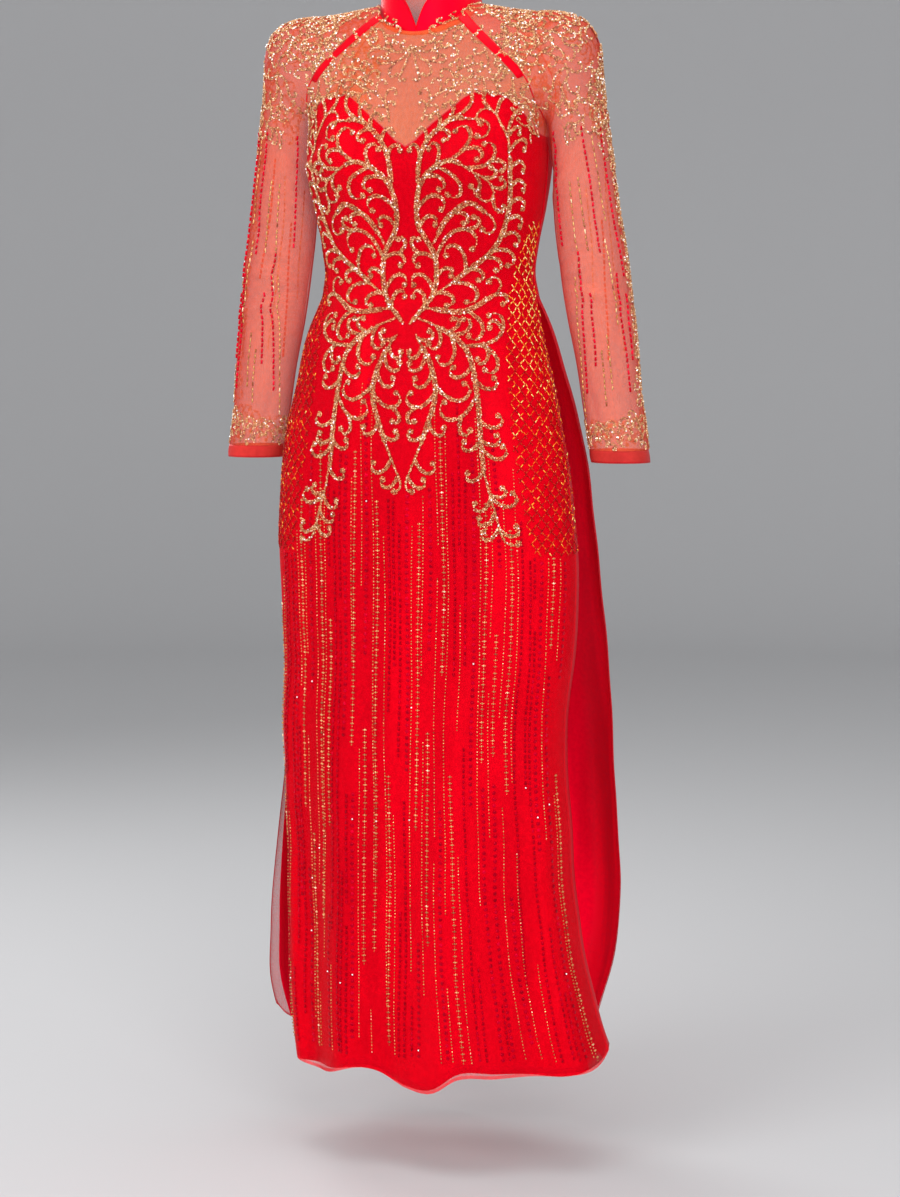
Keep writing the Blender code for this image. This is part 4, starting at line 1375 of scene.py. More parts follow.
BODICE_DESIGN = ScrollDesign(
    stems=(
        Stem(((.004, -.385), (.03, -.35), (.033, -.305), (.013, -.262), (.022, -.214), (.06, -.19),
              (.094, -.206)), -250, .060, .0064),
        Stem(((.032, -.35), (.07, -.322), (.108, -.29), (.132, -.232), (.138, -.176), (.116, -.14)), 235,
             .05),
        Stem(((.0155, -.232), (.024, -.176), (.054, -.142), (.084, -.14)), -230, .05),
        Stem(((.014, -.378), (.046, -.392), (.078, -.42), (.092, -.48), (.1, -.56), (.12, -.635)), 120, .034),
        Stem(((.012, -.398), (.03, -.428), (.04, -.468), (.026, -.52), (.005, -.572)), 130, .022),
        Stem(((.022, -.366), (.07, -.37), (.102, -.352)), 240, .044),
        Stem(((.031, -.288), (.05, -.258), (.078, -.24), (.096, -.25)), -230, .046)),
    outline={
        "side": ((-.095, .15), (-.15, .166), (-.22, .16), (-.28, .146), (-.33, .128), (-.4, .12),
                 (-.46, .116),
                 (-.52, .126), (-.6, .142), (-.68, .15)),
        "top": ((0, -.165), (.02, -.145), (.07, -.1), (.16, -.112)),
        "foot": ((0, -.6), (.04, -.575), (.056, -.505), (.068, -.505), (.08, -.59), (.1, -.65), (.14, -.69))},
    sparse_below=-0.425)
YOKE_DESIGN = ScrollDesign(
    stems=(
        Stem(((.001, -.048), (.014, -.056), (.03, -.052), (.05, -.046)), 230, .024, .004),
        Stem(((.001, -.05), (.014, -.066), (.034, -.07)), 220, .02, .004),
        Stem(((.001, -.052), (.006, -.07), (.012, -.086)), -200, .014, .0036),
        Stem(((.02, -.146), (.026, -.124), (.042, -.108), (.06, -.1)), 230, .026, .0042),
        Stem(((.046, -.116), (.06, -.096), (.082, -.088), (.106, -.09)), 220, .028, .0042),
        Stem(((.056, -.102), (.06, -.08), (.078, -.072)), -220, .022, .004)),
    outline={"side": ((-.03, .07), (-.085, .082), (-.095, .112), (-.13, .128), (-.16, .06)),
             "top": ((0, -.04), (.05, -.04), (.075, -.056), (.13, -.072)),
             "foot": ((0, -.094), (.014, -.1), (.018, -.152), (.034, -.14), (.05, -.124), (.13, -.122))},
    gap=.005, leaf_width=.0032, sizes=(.032, .026, .021, .017), rounds=((.032, .009), (.021, .007)),
    root_clear=0.008)
SPRIG_DESIGN = ScrollDesign(
    stems=(Stem(((0.0, 0.0), (.014, .004), (.03, -.003), (.046, .004)), 230, .024, .0042),
           Stem(((.004, .001), (.014, -.011), (.03, -.014)), -230, .02, .0038)),
    outline={"side": ((1, .06), (-1, .06)), "top": ((0, .026), (1, .026)), "foot": ((0, -.026), (1, -.026))},
    mirror=False, gap=.005, leaf_width=.0032, sizes=(.034, .028, .022, .017),
    rounds=((.034, .009), (.022, .007)), root_clear=.008)
SLEEVE_DESIGN = ScrollDesign(
    stems=(
        Stem(((0.0, -.15), (.004, -.22), (-.004, -.3), (.003, -.38), (-.003, -.45), (.002, -.492)), 60, .012,
             0.0042),
        *(Stem(((arc, -.536), (arc + lean * .006, -.526), (arc + lean * .001, -.517 + rise)), lean * 230,
               .021, 0.0042)
          for arc, lean, rise in ((-.108, 1, 0.0), (-.086, -1, .002), (-.064, 1, .005), (-.042, -1, .01),
                                  (-.02, 1, .018), (.02, -1, .018), (.042, 1, .01), (.064, -1, .005),
                                  (.086, 1, .002), (.108, -1, .000)))),
    outline={"side": ((-.14, .012), (-.45, .012), (-.494, .05), (-.508, .122), (-.56, .122)),
             "top": ((0, -.13), (1, -.13)), "foot": ((0, -.5385), (1, -.5385))},
    mirror=False, gap=.0048, leaf_width=.0032, sizes=(.03, .025, .021, .017, .014),
    rounds=((.025, .01), (.025, .0075), (.017, .006)), root_clear=.008)


# ---- Beadwork: where patterns lie
class ClothMap:
    """Places flat patterns on cloth: distance round from a middle line, and height."""

    def __init__(self, points: Array, normals: Array, levels: Array, reach: float = 0.34,
                 pitch: float = 0.002) -> None:
        """Measures the cloth.

        Args:
            points: rows at falling levels, by columns, by 3. The middle column is the pattern's middle line.
            normals: the cloth's outward directions there.
            levels: the height of each row.
            reach: the furthest distance round that is kept.
            pitch: the spacing of the table.
        """
        across = arc_lengths(points)[0]
        self.arcs = np.arange(-reach, reach + pitch / 2, pitch)
        self.levels = levels
        both = np.concatenate([points, normals], axis=2)
        self.table = np.stack([np.stack([np.interp(self.arcs, spread, column) for column in row.T], axis=1)
                               for spread, row in zip(across, both)])
        self.left, self.right = across[:, 0], across[:, -1]

    def read(self, arc: Array, z: Array) -> tuple[Array, Array]:
        """Points and normals of the cloth at distances round and heights."""
        column = np.clip((arc - self.arcs[0]) / (self.arcs[1] - self.arcs[0]), 0, len(self.arcs) - 1.001)
        row = np.clip((z - self.levels[0]) / (self.levels[1] - self.levels[0]), 0, len(self.levels) - 1.001)
        i, j = row.astype(int), column.astype(int)
        u, v = (row - i)[:, None], (column - j)[:, None]
        found = ((1 - u) * ((1 - v) * self.table[i, j] + v * self.table[i, j + 1])
                 + u * ((1 - v) * self.table[i + 1, j] + v * self.table[i + 1, j + 1]))
        return found[:, :3], unit(found[:, 3:])

    def edges(self, z: Array) -> tuple[Array, Array]:
        """How far round the left and right edges lie at some heights."""
        return np.interp(-z, -self.levels, self.left), np.interp(-z, -self.levels, self.right)

    def inside(self, arc: Array, z: Array, margin: float) -> Array:
        """True where a place is on the cloth and clear of its side edges."""
        left, right = self.edges(z)
        return (arc > left + margin) & (arc < right - margin) & (z < self.levels[0]) & (z > self.levels[-1])

    def place(self, arc: Array, z: Array, heading: Array) -> tuple[Array, Array, Array]:
        """Points, normals and the direction of a stroke on the cloth."""
        points, normals = self.read(arc, z)
        step = 0.0015
        ahead, _ = self.read(arc + step * np.cos(heading), z + step * np.sin(heading))
        behind, _ = self.read(arc - step * np.cos(heading), z - step * np.sin(heading))
        return points, normals, unit(ahead - behind)


def panel_map(panel: TunicPanel) -> ClothMap:
    """The map of a panel between the shoulders and the hem."""
    levels = np.arange(-0.060, -1.334, -0.006)
    turn = np.linspace(-1, 1, 161)
    points = panel.shape.section(turn[None, :], levels[:, None])
    normals = grid_normals(points) * (-1.0 if panel.shape.back else 1.0)
    return ClothMap(panel.shape.crumple(points, normals), normals, levels)


def sleeve_map(shape: SleeveShape) -> ClothMap:
    """The map of a sleeve between the underarm and the cuff, its middle line along the outside."""
    levels = np.arange(UNDERARM_Z, CUFF_END_Z, -0.005)
    turn = np.linspace(-0.02, 1.02, 121)
    points = shape.ring(turn[None, :], levels[:, None])
    normals = grid_normals(points) * shape.side.value
    return ClothMap(points, normals, levels, 0.16)


@dataclass
class Stamp:
    """A flat pattern pressed onto the figure about one point."""

    origin: Array
    along: Array

    def place(self, x: Array, z: Array, heading: Array) -> tuple[Array, Array, Array]:
        """Points, normals and stroke directions on the figure."""
        out = FIGURE.normal(self.origin[None])[0]
        along = unit(self.along - out * (self.along @ out))
        aside = np.cross(out, along)
        points = FIGURE.settle(self.origin + x[:, None] * along + z[:, None] * aside, rounds=8)
        normals = FIGURE.normal(points)
        course = np.cos(heading)[:, None] * along + np.sin(heading)[:, None] * aside
        course = course - normals * (course * normals).sum(axis=1, keepdims=True)
        return points, normals, unit(course)


# ---- Beadwork: beads
class BeadKind(Enum):
    """The beads on the cloth."""

    SEED = "seed"
    BUGLE = "bugle"
    SEQUIN = "sequin"
    CRYSTAL = "crystal"


def sides(*lengths: Array | float) -> Array:
    """Stacks the lengths, widths and heights of beads into sizes."""
    return np.stack(np.broadcast_arrays(*lengths), axis=1)


@dataclass
class BeadLot:
    """Many beads of one kind, before they become one piece: place, normal, course, size and tint of each."""

    rows: list[Array] = field(default_factory=list)

    def add(self, points: Array, normals: Array, courses: Array, size: Array | tuple[float, float, float],
            tint: Array) -> None:
        """Adds beads.

        Args:
            points: where they sit on the cloth.
            normals: outward directions there.
            courses: the direction of each bead's length.
            size: length, width and height, for all or for each.
            tint: a shade from 0 to 1 for each.
        """
        size = np.broadcast_to(size, (len(points), 3))
        self.rows.append(np.concatenate([points, normals, courses, size, tint[:, None]], axis=1))

    def thin(self, spacing: float) -> "BeadLot":
        """The lot with one bead in each small cell of space, so that crossing strokes don't pile up."""
        rows = np.concatenate(self.rows)
        cells = np.round(rows[:, :3] / spacing).astype(int)
        return BeadLot([rows[np.sort(np.unique(cells, axis=0, return_index=True)[1])]])

    def take(self, other: "BeadLot") -> None:
        """Takes over another lot's beads."""
        self.rows.extend(other.rows)


class BeadBox:
    """Models each kind of bead once and copies it over the cloth."""

    def __init__(self) -> None:
        """Makes the four patterns, each about 1 across and lying along X."""
        self.patterns = {kind: self.model(kind) for kind in BeadKind}

    @staticmethod
    def model(kind: BeadKind) -> tuple[Array, list[list[int]]]:
        """Models one bead and returns its corners and faces."""
        bpy.ops.object.select_all(action="DESELECT")
        add, shape = {
            BeadKind.BUGLE: (bpy.ops.mesh.primitive_cylinder_add,
                             {"vertices": 5, "radius": 0.5, "depth": 1.0, "rotation": (0, pi / 2, 0)}),
            BeadKind.SEQUIN: (bpy.ops.mesh.primitive_cone_add,
                              {"vertices": 7, "radius1": 0.5, "radius2": 0.16, "depth": 0.5,
                               "end_fill_type": "NGON"}),
            BeadKind.CRYSTAL: (bpy.ops.mesh.primitive_cone_add,
                               {"vertices": 6, "radius1": 0.5, "radius2": 0.26, "depth": 0.6,
                                "end_fill_type": "NGON"}),
            BeadKind.SEED: (bpy.ops.mesh.primitive_uv_sphere_add,
                            {"segments": 4, "ring_count": 2, "radius": 0.5}),
        }[kind]
        add(**shape)
        pattern = bpy.context.object
        bpy.ops.object.transform_apply(location=True, rotation=True, scale=True)
        corners = np.array([vertex.co[:] for vertex in pattern.data.vertices])
        faces = [list(face.vertices) for face in pattern.data.polygons]
        mesh = pattern.data
        bpy.data.objects.remove(pattern)
        bpy.data.meshes.remove(mesh)
        return corners, faces

    def scatter(self, name: str, kind: BeadKind, lot: BeadLot, seed: int, tumble: float, material: Material,
                slot: str, sink: float = 0.35) -> Piece:
        """Copies one bead to every place of a lot and dresses the piece.

        Args:
            name: the piece's name.
            kind: the bead.
            lot: where, which way and how large.
            seed: the start of its small turns.
            tumble: how far each bead may turn out of line, in radians.
            material: what the beads are made of.
            slot: the slot of the cloth that carries them; not used.
            sink: how much of its height lies below its own middle on the cloth.

        Returns:
            One piece with all the beads.
        """
        corners, faces = self.patterns[kind]
        points, normals, courses, sizes, tints = np.split(np.concatenate(lot.rows), (3, 6, 9, 12), axis=1)
        rng = np.random.default_rng(seed)
        turn = rng.uniform(-tumble, tumble, (len(points), 3))
        out = unit(normals + courses * turn[:, :1] + np.cross(normals, courses) * turn[:, 1:2])
        aside = unit(np.cross(out, unit(courses + np.cross(out, courses) * turn[:, 2:])))
        ahead = np.cross(aside, out)
        centres = points + normals * (sizes[:, 2:] * (0.5 - sink * 0.3))
        shape = corners[None] * sizes[:, None, :]
        placed = (centres[:, None] + shape[..., :1] * ahead[:, None] + shape[..., 1:2] * aside[:, None]
                  + shape[..., 2:] * out[:, None])
        count, size = len(points), len(corners)
        shift = np.arange(count) * size
        lengths = np.tile([len(face) for face in faces], count)
        loops = (np.concatenate([np.array(face) for face in faces])[None] + shift[:, None]).reshape(-1)
        mesh = bpy.data.meshes.new(name)
        mesh.vertices.add(count * size)
        mesh.vertices.foreach_set("co", placed.reshape(-1))
        mesh.loops.add(len(loops))
        mesh.loops.foreach_set("vertex_index", loops)
        mesh.polygons.add(len(lengths))
        mesh.polygons.foreach_set("loop_start", np.concatenate([[0], np.cumsum(lengths)[:-1]]))
        mesh.update(calc_edges=True)
        mesh.validate()
        mesh.attributes.new("tint", "FLOAT", "POINT").data.foreach_set("value", np.repeat(tints, size))
        mesh.polygons.foreach_set("use_smooth", np.full(len(lengths), kind is BeadKind.BUGLE))
        return finish_piece(new_object(name, mesh), material, slot)


@dataclass
class ScrollBeader:
    """Fills scroll strokes with rows of small beads."""

    seed: int
    pitch: float = 0.0018
    row_gap: float = 0.0016
    bead: float = 0.0018
    jitter: float = 0.00032
    sparkle: float = 0.026
    knob: float = 0.0036
    lot: BeadLot = field(default_factory=BeadLot)
    crystals: BeadLot = field(default_factory=BeadLot)
    bare: tuple[Array, ...] = ()
    bare_width: float = 0.0062

    def __post_init__(self) -> None:
        """Starts its own random numbers."""
        self.rng = np.random.default_rng(self.seed)

    def flat_beads(self, path: Array, width: float) -> Array:
        """Where the beads of one stroke lie in the flat pattern, as x, z and heading."""
        heading = np.unwrap(np.radians(path[:, 2]))
        run = np.concatenate([[0], np.cumsum(np.hypot(np.diff(path[:, 0]), np.diff(path[:, 1])))])
        places = []
        rows = max(1, round(width / self.row_gap))
        for row in range(rows):
            offset = (row - (rows - 1) / 2) * self.row_gap
            along = np.arange(0.0004 + 0.5 * self.pitch * (row % 2), run[-1], self.pitch)
            share = along / run[-1]
            fullness = 0.62 + 0.44 * np.sin(pi * np.clip(share * 1.1 + 0.08, 0, 1))
            keep_row = np.abs(offset) <= fullness * width / 2
            along, fullness = along[keep_row], fullness[keep_row]
            turn = np.interp(along, run, heading)
            aside = offset * np.minimum(fullness * 1.05, 1.0)
            places.append(np.stack([np.interp(along, run, path[:, 0]) - aside * np.sin(turn),
                                    np.interp(along, run, path[:, 1]) + aside * np.cos(turn), turn], axis=1))
        ring, core = np.arange(10) / 10 * 2 * pi, np.arange(5) / 5 * 2 * pi
        middle = path[-1, :2] - 0.3 * self.knob * np.array([cos(heading[-1]), sin(heading[-1])])
        radius = self.knob * width / 0.006
        for around, reach in ((ring, radius), (core, radius * 0.45)):
            places.append(np.stack([middle[0] + reach * np.cos(around), middle[1] + reach * np.sin(around),
                                    around],
                                   axis=1))
        return np.concatenate(places)

    def fill(self, strokes: list[tuple[Array, float]], place: object, keep: object = None) -> None:
        """Beads some strokes.

        Args:
            strokes: the path and width of each, a path being x, z and heading in degrees.
            place: the function that puts flat places on the cloth.
            keep: a function that is True for the flat places to keep, or None for all.
        """
        flat = np.concatenate([self.flat_beads(path, width) for path, width in strokes])
        flat[:, :2] += self.rng.normal(0, self.jitter, (len(flat), 2))
        if keep is not None:
            flat = flat[keep(flat[:, 0], flat[:, 1])]
        points, normals, courses = place(flat[:, 0], flat[:, 1], flat[:, 2])
        clear = np.hypot(points[:, 0] / NECK_HALF_WIDTH, points[:, 1] / NECK_HALF_DEPTH) > NECK_CLEAR
        for line in self.bare:
            away = np.linalg.norm(points[:, None] - line, axis=2)
            clear &= (away.min(axis=1) > self.bare_width) | (away.argmin(axis=1) % 9 < 2)
        flat, points, normals, courses = flat[clear], points[clear], normals[clear], courses[clear]
        special = self.rng.random(len(flat)) < self.sparkle
        tint = np.clip(self.rng.normal(0.5, 0.36, len(flat)), 0, 1)
        size = self.bead * self.rng.uniform(0.85, 1.2, len(flat))
        common = ~special
        self.lot.add(points[common], normals[common], courses[common],
                     sides(size * 1.2, size, size * 0.95)[common],
                     tint[common])
        big = size[special] * 1.15
        self.crystals.add(points[special] + normals[special] * 0.0007, normals[special], courses[special],
                          sides(big, big, big * 0.8), tint[special])


@dataclass(frozen=True)
class BeadFinish:
    """Cut glass or foiled beads whose shade changes from bead to bead: their own colours, with painted shade
    and painted glints at the ramps' ends.
    """

    name: str
    shades: tuple[tuple[float, Colour], ...]
    roughness: float = 0.28
    metallic: float = 0.8
    painted_glow: float = 0.0
    coat: float = 0.0
    glint: Colour = (1.0, 1.0, 1.0)

    def build(self) -> Material:
        """Makes the material."""
        material, wire, shader = new_material(self.name)
        spread = wire.add("Attribute", attribute_name="tint")["Fac"]
        grime = wire.noise(wire.add("TexCoord")["Object"], 700.0, 1.0)
        toned = wire.shaded(wire.ramp(spread, self.shades), wire.band(grime, 0.3, 0.7, 0.82, 1.06))
        wire.feed(shader, {"Base Color": toned, "Roughness": grime * 0.20 + (self.roughness - 0.10),
                           "Metallic": self.metallic, "Coat Weight": self.coat, "Specular Tint": (*self.glint,
                                                                                                  1.0)})
        # Emission of the toned colour: a painted glow standing in for light caught by the beads.
        if self.painted_glow > 0:
            wire.feed(shader, {"Emission Color": toned, "Emission Strength": self.painted_glow})
        return material


@dataclass(frozen=True)
class BeadFinishes:
    """The bead materials."""

    gold: Material
    foil: Material
    wine: Material
    ruby: Material
    fire: Material
    crystal: Material


def bead_finishes() -> BeadFinishes:
    """Makes every bead material."""
    # The gold, foil and fire ramps run from dark to near white: besides the beads' own colours, their dark
    # ends are painted shade and their pale ends painted glints.
    gold = BeadFinish("champagne_beads", ((0.0, (.26, .075, .03)), (.3, (.46, .19, .08)),
                                          (.6, (.64, .3, .12)), (.88, (.8, .47, .21)),
                                          (1.0, (1.0, .8, .54))), .36, .4, .08)
    foil = BeadFinish("gold_foil_beads", ((0.0, (.3, .08, .025)), (.4, (.55, .25, .07)),
                                          (.8, (.82, .5, .18)), (1.0, (1.0, .85, .55))), .28, .5, .06)
    wine = BeadFinish("wine_beads", ((0.0, (.26, 0.0, .006)), (.6, (.4, 0.0, .01)), (1.0, (.62, 0.0, .02))),
                      .3, 0.0, .05, 0.0, (1.0, .02, .06))
    ruby = BeadFinish("ruby_dashes", ((0.0, (.46, 0.0, .01)), (.6, (.6, 0.0, .018)), (1.0, (.82, .01, .04))),
                      .3, 0.0, .1, 0.0, (1.0, .04, .08))
    fire = BeadFinish("fire_bugles", ((0.0, (.3, .004, .005)), (.42, (.46, .012, .006)),
                                      (.66, (.85, .12, .01)), (.86, (1.0, .46, .05)),
                                      (1.0, (1.0, .8, .25))), .22, .35, .12, .2, (1.0, .35, .15))
    # The crystals are near white and glow: painted glints.
    crystal = BeadFinish("clear_crystals", ((0.0, (.75, .7, .72)), (.5, (.92, .9, .92)),
                                            (1.0, (1.0, 1.0, 1.0))), .1, .35, .55, 1.0)
    return BeadFinishes(*(finish.build() for finish in (gold, foil, wine, ruby, fire, crystal)))


# pitch, shortest and longest bead, width, height and share of crystals, for gold dashes, a fine gold chain,
# wine dashes and sequins
STRAND_BEADS = (
    (.0076, .0036, .0044, .0022, .0018, .003), (.0041, .0018, .0025, .0018, .0016, .002),
    (.0066, .0036, .0044, .0023, .0016, .005), (.0078, .0046, .0046, .0046, .001, .014))


@dataclass
class FrontBeadwork:
    """Gold scrolls, side lattices and hanging strands on the front net."""

    panel: TunicPanel
    beads: BeadBox
    finishes: BeadFinishes
    diamond: tuple[float, float] = (0.0132, 0.0155)
    lattice_levels: tuple[float, ...] = (-.262, -.305, -.35, -.42, -.52, -.6, -.665)
    lattice_inner: tuple[float, ...] = (.158, .14, .124, .126, .134, .146, .16)
    strand_count: int = 54
    seed: int = 11

    def build(self) -> list[Piece]:
        """Makes all of it."""
        self.map = panel_map(self.panel)
        self.rng = np.random.default_rng(self.seed)
        self.small = BeadLot()
        return [*self.scrolls(), *self.lattice(), *self.strands()]

    def scrolls(self) -> list[Piece]:
        """The mirrored scrolls over the bodice and the hips."""
        def keep(x: Array, z: Array) -> Array:
            """True on the cloth, clear of the side edges."""
            return self.map.inside(x, z, 0.006)

        pieces, strokes = [], BODICE_DESIGN.strokes()
        for name, upper, seed in (("front_bodice_scrolls", True, 3), ("front_hip_scrolls", False, 4)):
            beader = ScrollBeader(seed)
            beader.fill([stroke for stroke in strokes if bool(stroke[0][0, 1] > -0.300) == upper],
                        self.map.place, keep)
            self.small.take(beader.crystals)
            pieces.append(self.beads.scatter(name, BeadKind.SEED, beader.lot, seed, 0.9, self.finishes.gold,
                                             "beaded_net"))
        return pieces

    def inner_edge(self, z: Array) -> Array:
        """How far from the middle the side lattices start."""
        return np.interp(-z, [-level for level in self.lattice_levels], self.lattice_inner)

    def lattice(self) -> list[Piece]:
        """Two diamond lattices of bugles down the sides, with a seed bead at each crossing."""
        lot, knots = BeadLot(), BeadLot()
        wide, tall = self.diamond
        low, high = self.lattice_levels[-1], self.lattice_levels[0]
        rows, columns = (axis.reshape(-1) for axis in np.meshgrid(np.arange(-75, 75), np.arange(-75, 75)))
        knot_x, knot_z = (rows + columns) * wide / 2, -0.45 + (rows - columns) * tall / 2
        for direction in (1, -1):
            step = np.array([wide / 2, direction * tall / 2])
            heading = float(np.arctan2(step[1], step[0]))
            for share in (0.27, 0.73):
                x = knot_x + share * step[0] + self.rng.normal(0, 0.0004, len(rows))
                z = knot_z + share * step[1] + self.rng.normal(0, 0.0004, len(rows))
                keep = self.latticed(x, z, low, high) & (self.rng.random(len(x)) < 0.95)
                x, z = x[keep], z[keep]
                turn = heading + self.rng.normal(0, 0.06, len(x))
                points, normals, courses = self.map.place(x, z, turn)
                # The tint rises towards +X and in a band about z -0.33, so more bugles there reach the fire
                # ramp's orange and yellow: partly their own colour, partly painted glints.
                bright = smoothstep(.02, .12, x) * (.44 * bell(z, -.33, .13) + .08) + .34
                tint = np.clip(self.rng.normal(bright, 0.24), 0, 1)
                length = np.hypot(*step) * self.rng.uniform(0.36, 0.44, len(x))
                lot.add(points, normals, courses, sides(length, 0.0013, 0.0012), tint)
        keep = self.latticed(knot_x, knot_z, low, high)
        points, normals, courses = self.map.place(knot_x[keep], knot_z[keep], np.zeros(keep.sum()))
        knots.add(points, normals, courses, (0.0021, 0.0021, 0.0016),
                  np.clip(self.rng.normal(0.5, 0.25, len(points)), 0, 1))
        return [self.beads.scatter(name, kind, beads, seed, tumble, finish, "beaded_net")
                for name, kind, beads, seed, tumble, finish in (
                    ("front_lattice_bugles", BeadKind.BUGLE, lot, 21, 0.10, self.finishes.fire),
                    ("front_lattice_knots", BeadKind.SEED, knots, 22, 0.6, self.finishes.wine))]

    def latticed(self, x: Array, z: Array, low: float, high: float) -> Array:
        """True where the lattices cover the net."""
        return (np.abs(x) > self.inner_edge(z)) & (z > low) & (z < high) & self.map.inside(x, z, 0.005)

    def strands(self) -> list[Piece]:
        """Hanging rows: gold dashes, fine gold chains, wine dashes and dark sequins, with a few crystals."""
        gold, chain, wine, discs = BeadLot(), BeadLot(), BeadLot(), BeadLot()
        turns = np.linspace(-0.93, 0.93, self.strand_count)
        kinds = (0, 2, 1, 3, 1, 2, 0, 1, 2, 3, 1)
        for index, place in enumerate(turns):
            top = -.42 - .22 * abs(place) ** 1.4 - self.rng.uniform(0.0, .12)
            if abs(place) < 0.16:
                top = min(top, -0.585 - self.rng.uniform(0.0, 0.06))
            for number, (start, end) in enumerate(self.spans(top)):
                kind = kinds[(index * 4 + number * 3) % len(kinds)]
                self.run(kind, place + self.rng.normal(0, 0.004), start, end, (gold, chain, wine, discs))
        return [self.beads.scatter("front_" + name, kind, lot, seed, 0.18, finish, "beaded_net")
                for name, kind, lot, finish, seed in (
                    ("gold_lozenges", BeadKind.SEED, gold, self.finishes.gold, 31),
                    ("gold_chains", BeadKind.SEED, chain, self.finishes.foil, 32),
                    ("wine_dashes", BeadKind.BUGLE, wine, self.finishes.wine, 33),
                    ("sequins", BeadKind.SEQUIN, discs, self.finishes.wine, 34),
                    ("crystals", BeadKind.CRYSTAL, self.small, self.finishes.crystal, 35))]

    def spans(self, top: float) -> list[tuple[float, float]]:
        """Splits a strand into one to three stretches between its top and the hem."""
        spans, start = [], top
        while start > -1.24:
            end = max(start - self.rng.uniform(0.12, 0.62), -1.290)
            spans.append((start, end))
            start = end - self.rng.uniform(0.03, 0.22)
        return spans

    def run(self, kind: int, turn: float, start: float, end: float, lots: tuple[BeadLot, ...]) -> None:
        """Beads one stretch of a strand.

        Args:
            kind: its row of STRAND_BEADS.
            turn: where it hangs between the side edges, from -1 to 1.
            start: its top.
            end: its foot.
            lots: the lots for the four kinds.
        """
        pitch, shortest, longest, width, height, sparkle = STRAND_BEADS[kind]
        z = np.arange(start, end, -pitch)
        if len(z) < 2:
            return
        z = z + self.rng.normal(0, 0.0003, len(z))
        lean = self.rng.normal(0, 0.018)
        place = turn + lean * (z - start) + 0.004 * np.sin(z * 21 + turn * 17)
        left, right = self.map.edges(z)
        inset = 0.022
        arc = np.where(place < 0, -place * (left + inset), place * (right - inset))
        keep = self.map.inside(arc, z, 0.010) & ~self.under_lattice(arc, z)
        arc, z = arc[keep], z[keep]
        if len(z) < 2:
            return
        count, down = len(z), np.full(len(z), -pi / 2)
        points, normals, courses = self.map.place(arc, z, down)
        tint = np.clip(self.rng.normal(0.5, 0.22, count), 0, 1)
        length = self.rng.uniform(shortest, longest, count) if longest > shortest else np.full(count, longest)
        if kind == 0:
            for aside, lower in ((-.0018, 0.0), (.0018, 0.0), (0.0, .0038)):
                lots[1].add(*self.map.place(arc + aside, z - lower, down), (0.0016, 0.0016, 0.0016), tint)
        lots[kind].add(points, normals, courses, sides(length, width, height), tint)
        bright = self.rng.random(count) < sparkle
        if bright.any():
            self.small.add((points + normals * 0.0008)[bright], normals[bright], courses[bright],
                           (.0022, .0022, .0016), tint[bright])

    def under_lattice(self, arc: Array, z: Array) -> Array:
        """True where the side lattices already cover the net."""
        return (np.abs(arc) > self.inner_edge(z) - 0.003) & (z > self.lattice_levels[-1] - 0.004)


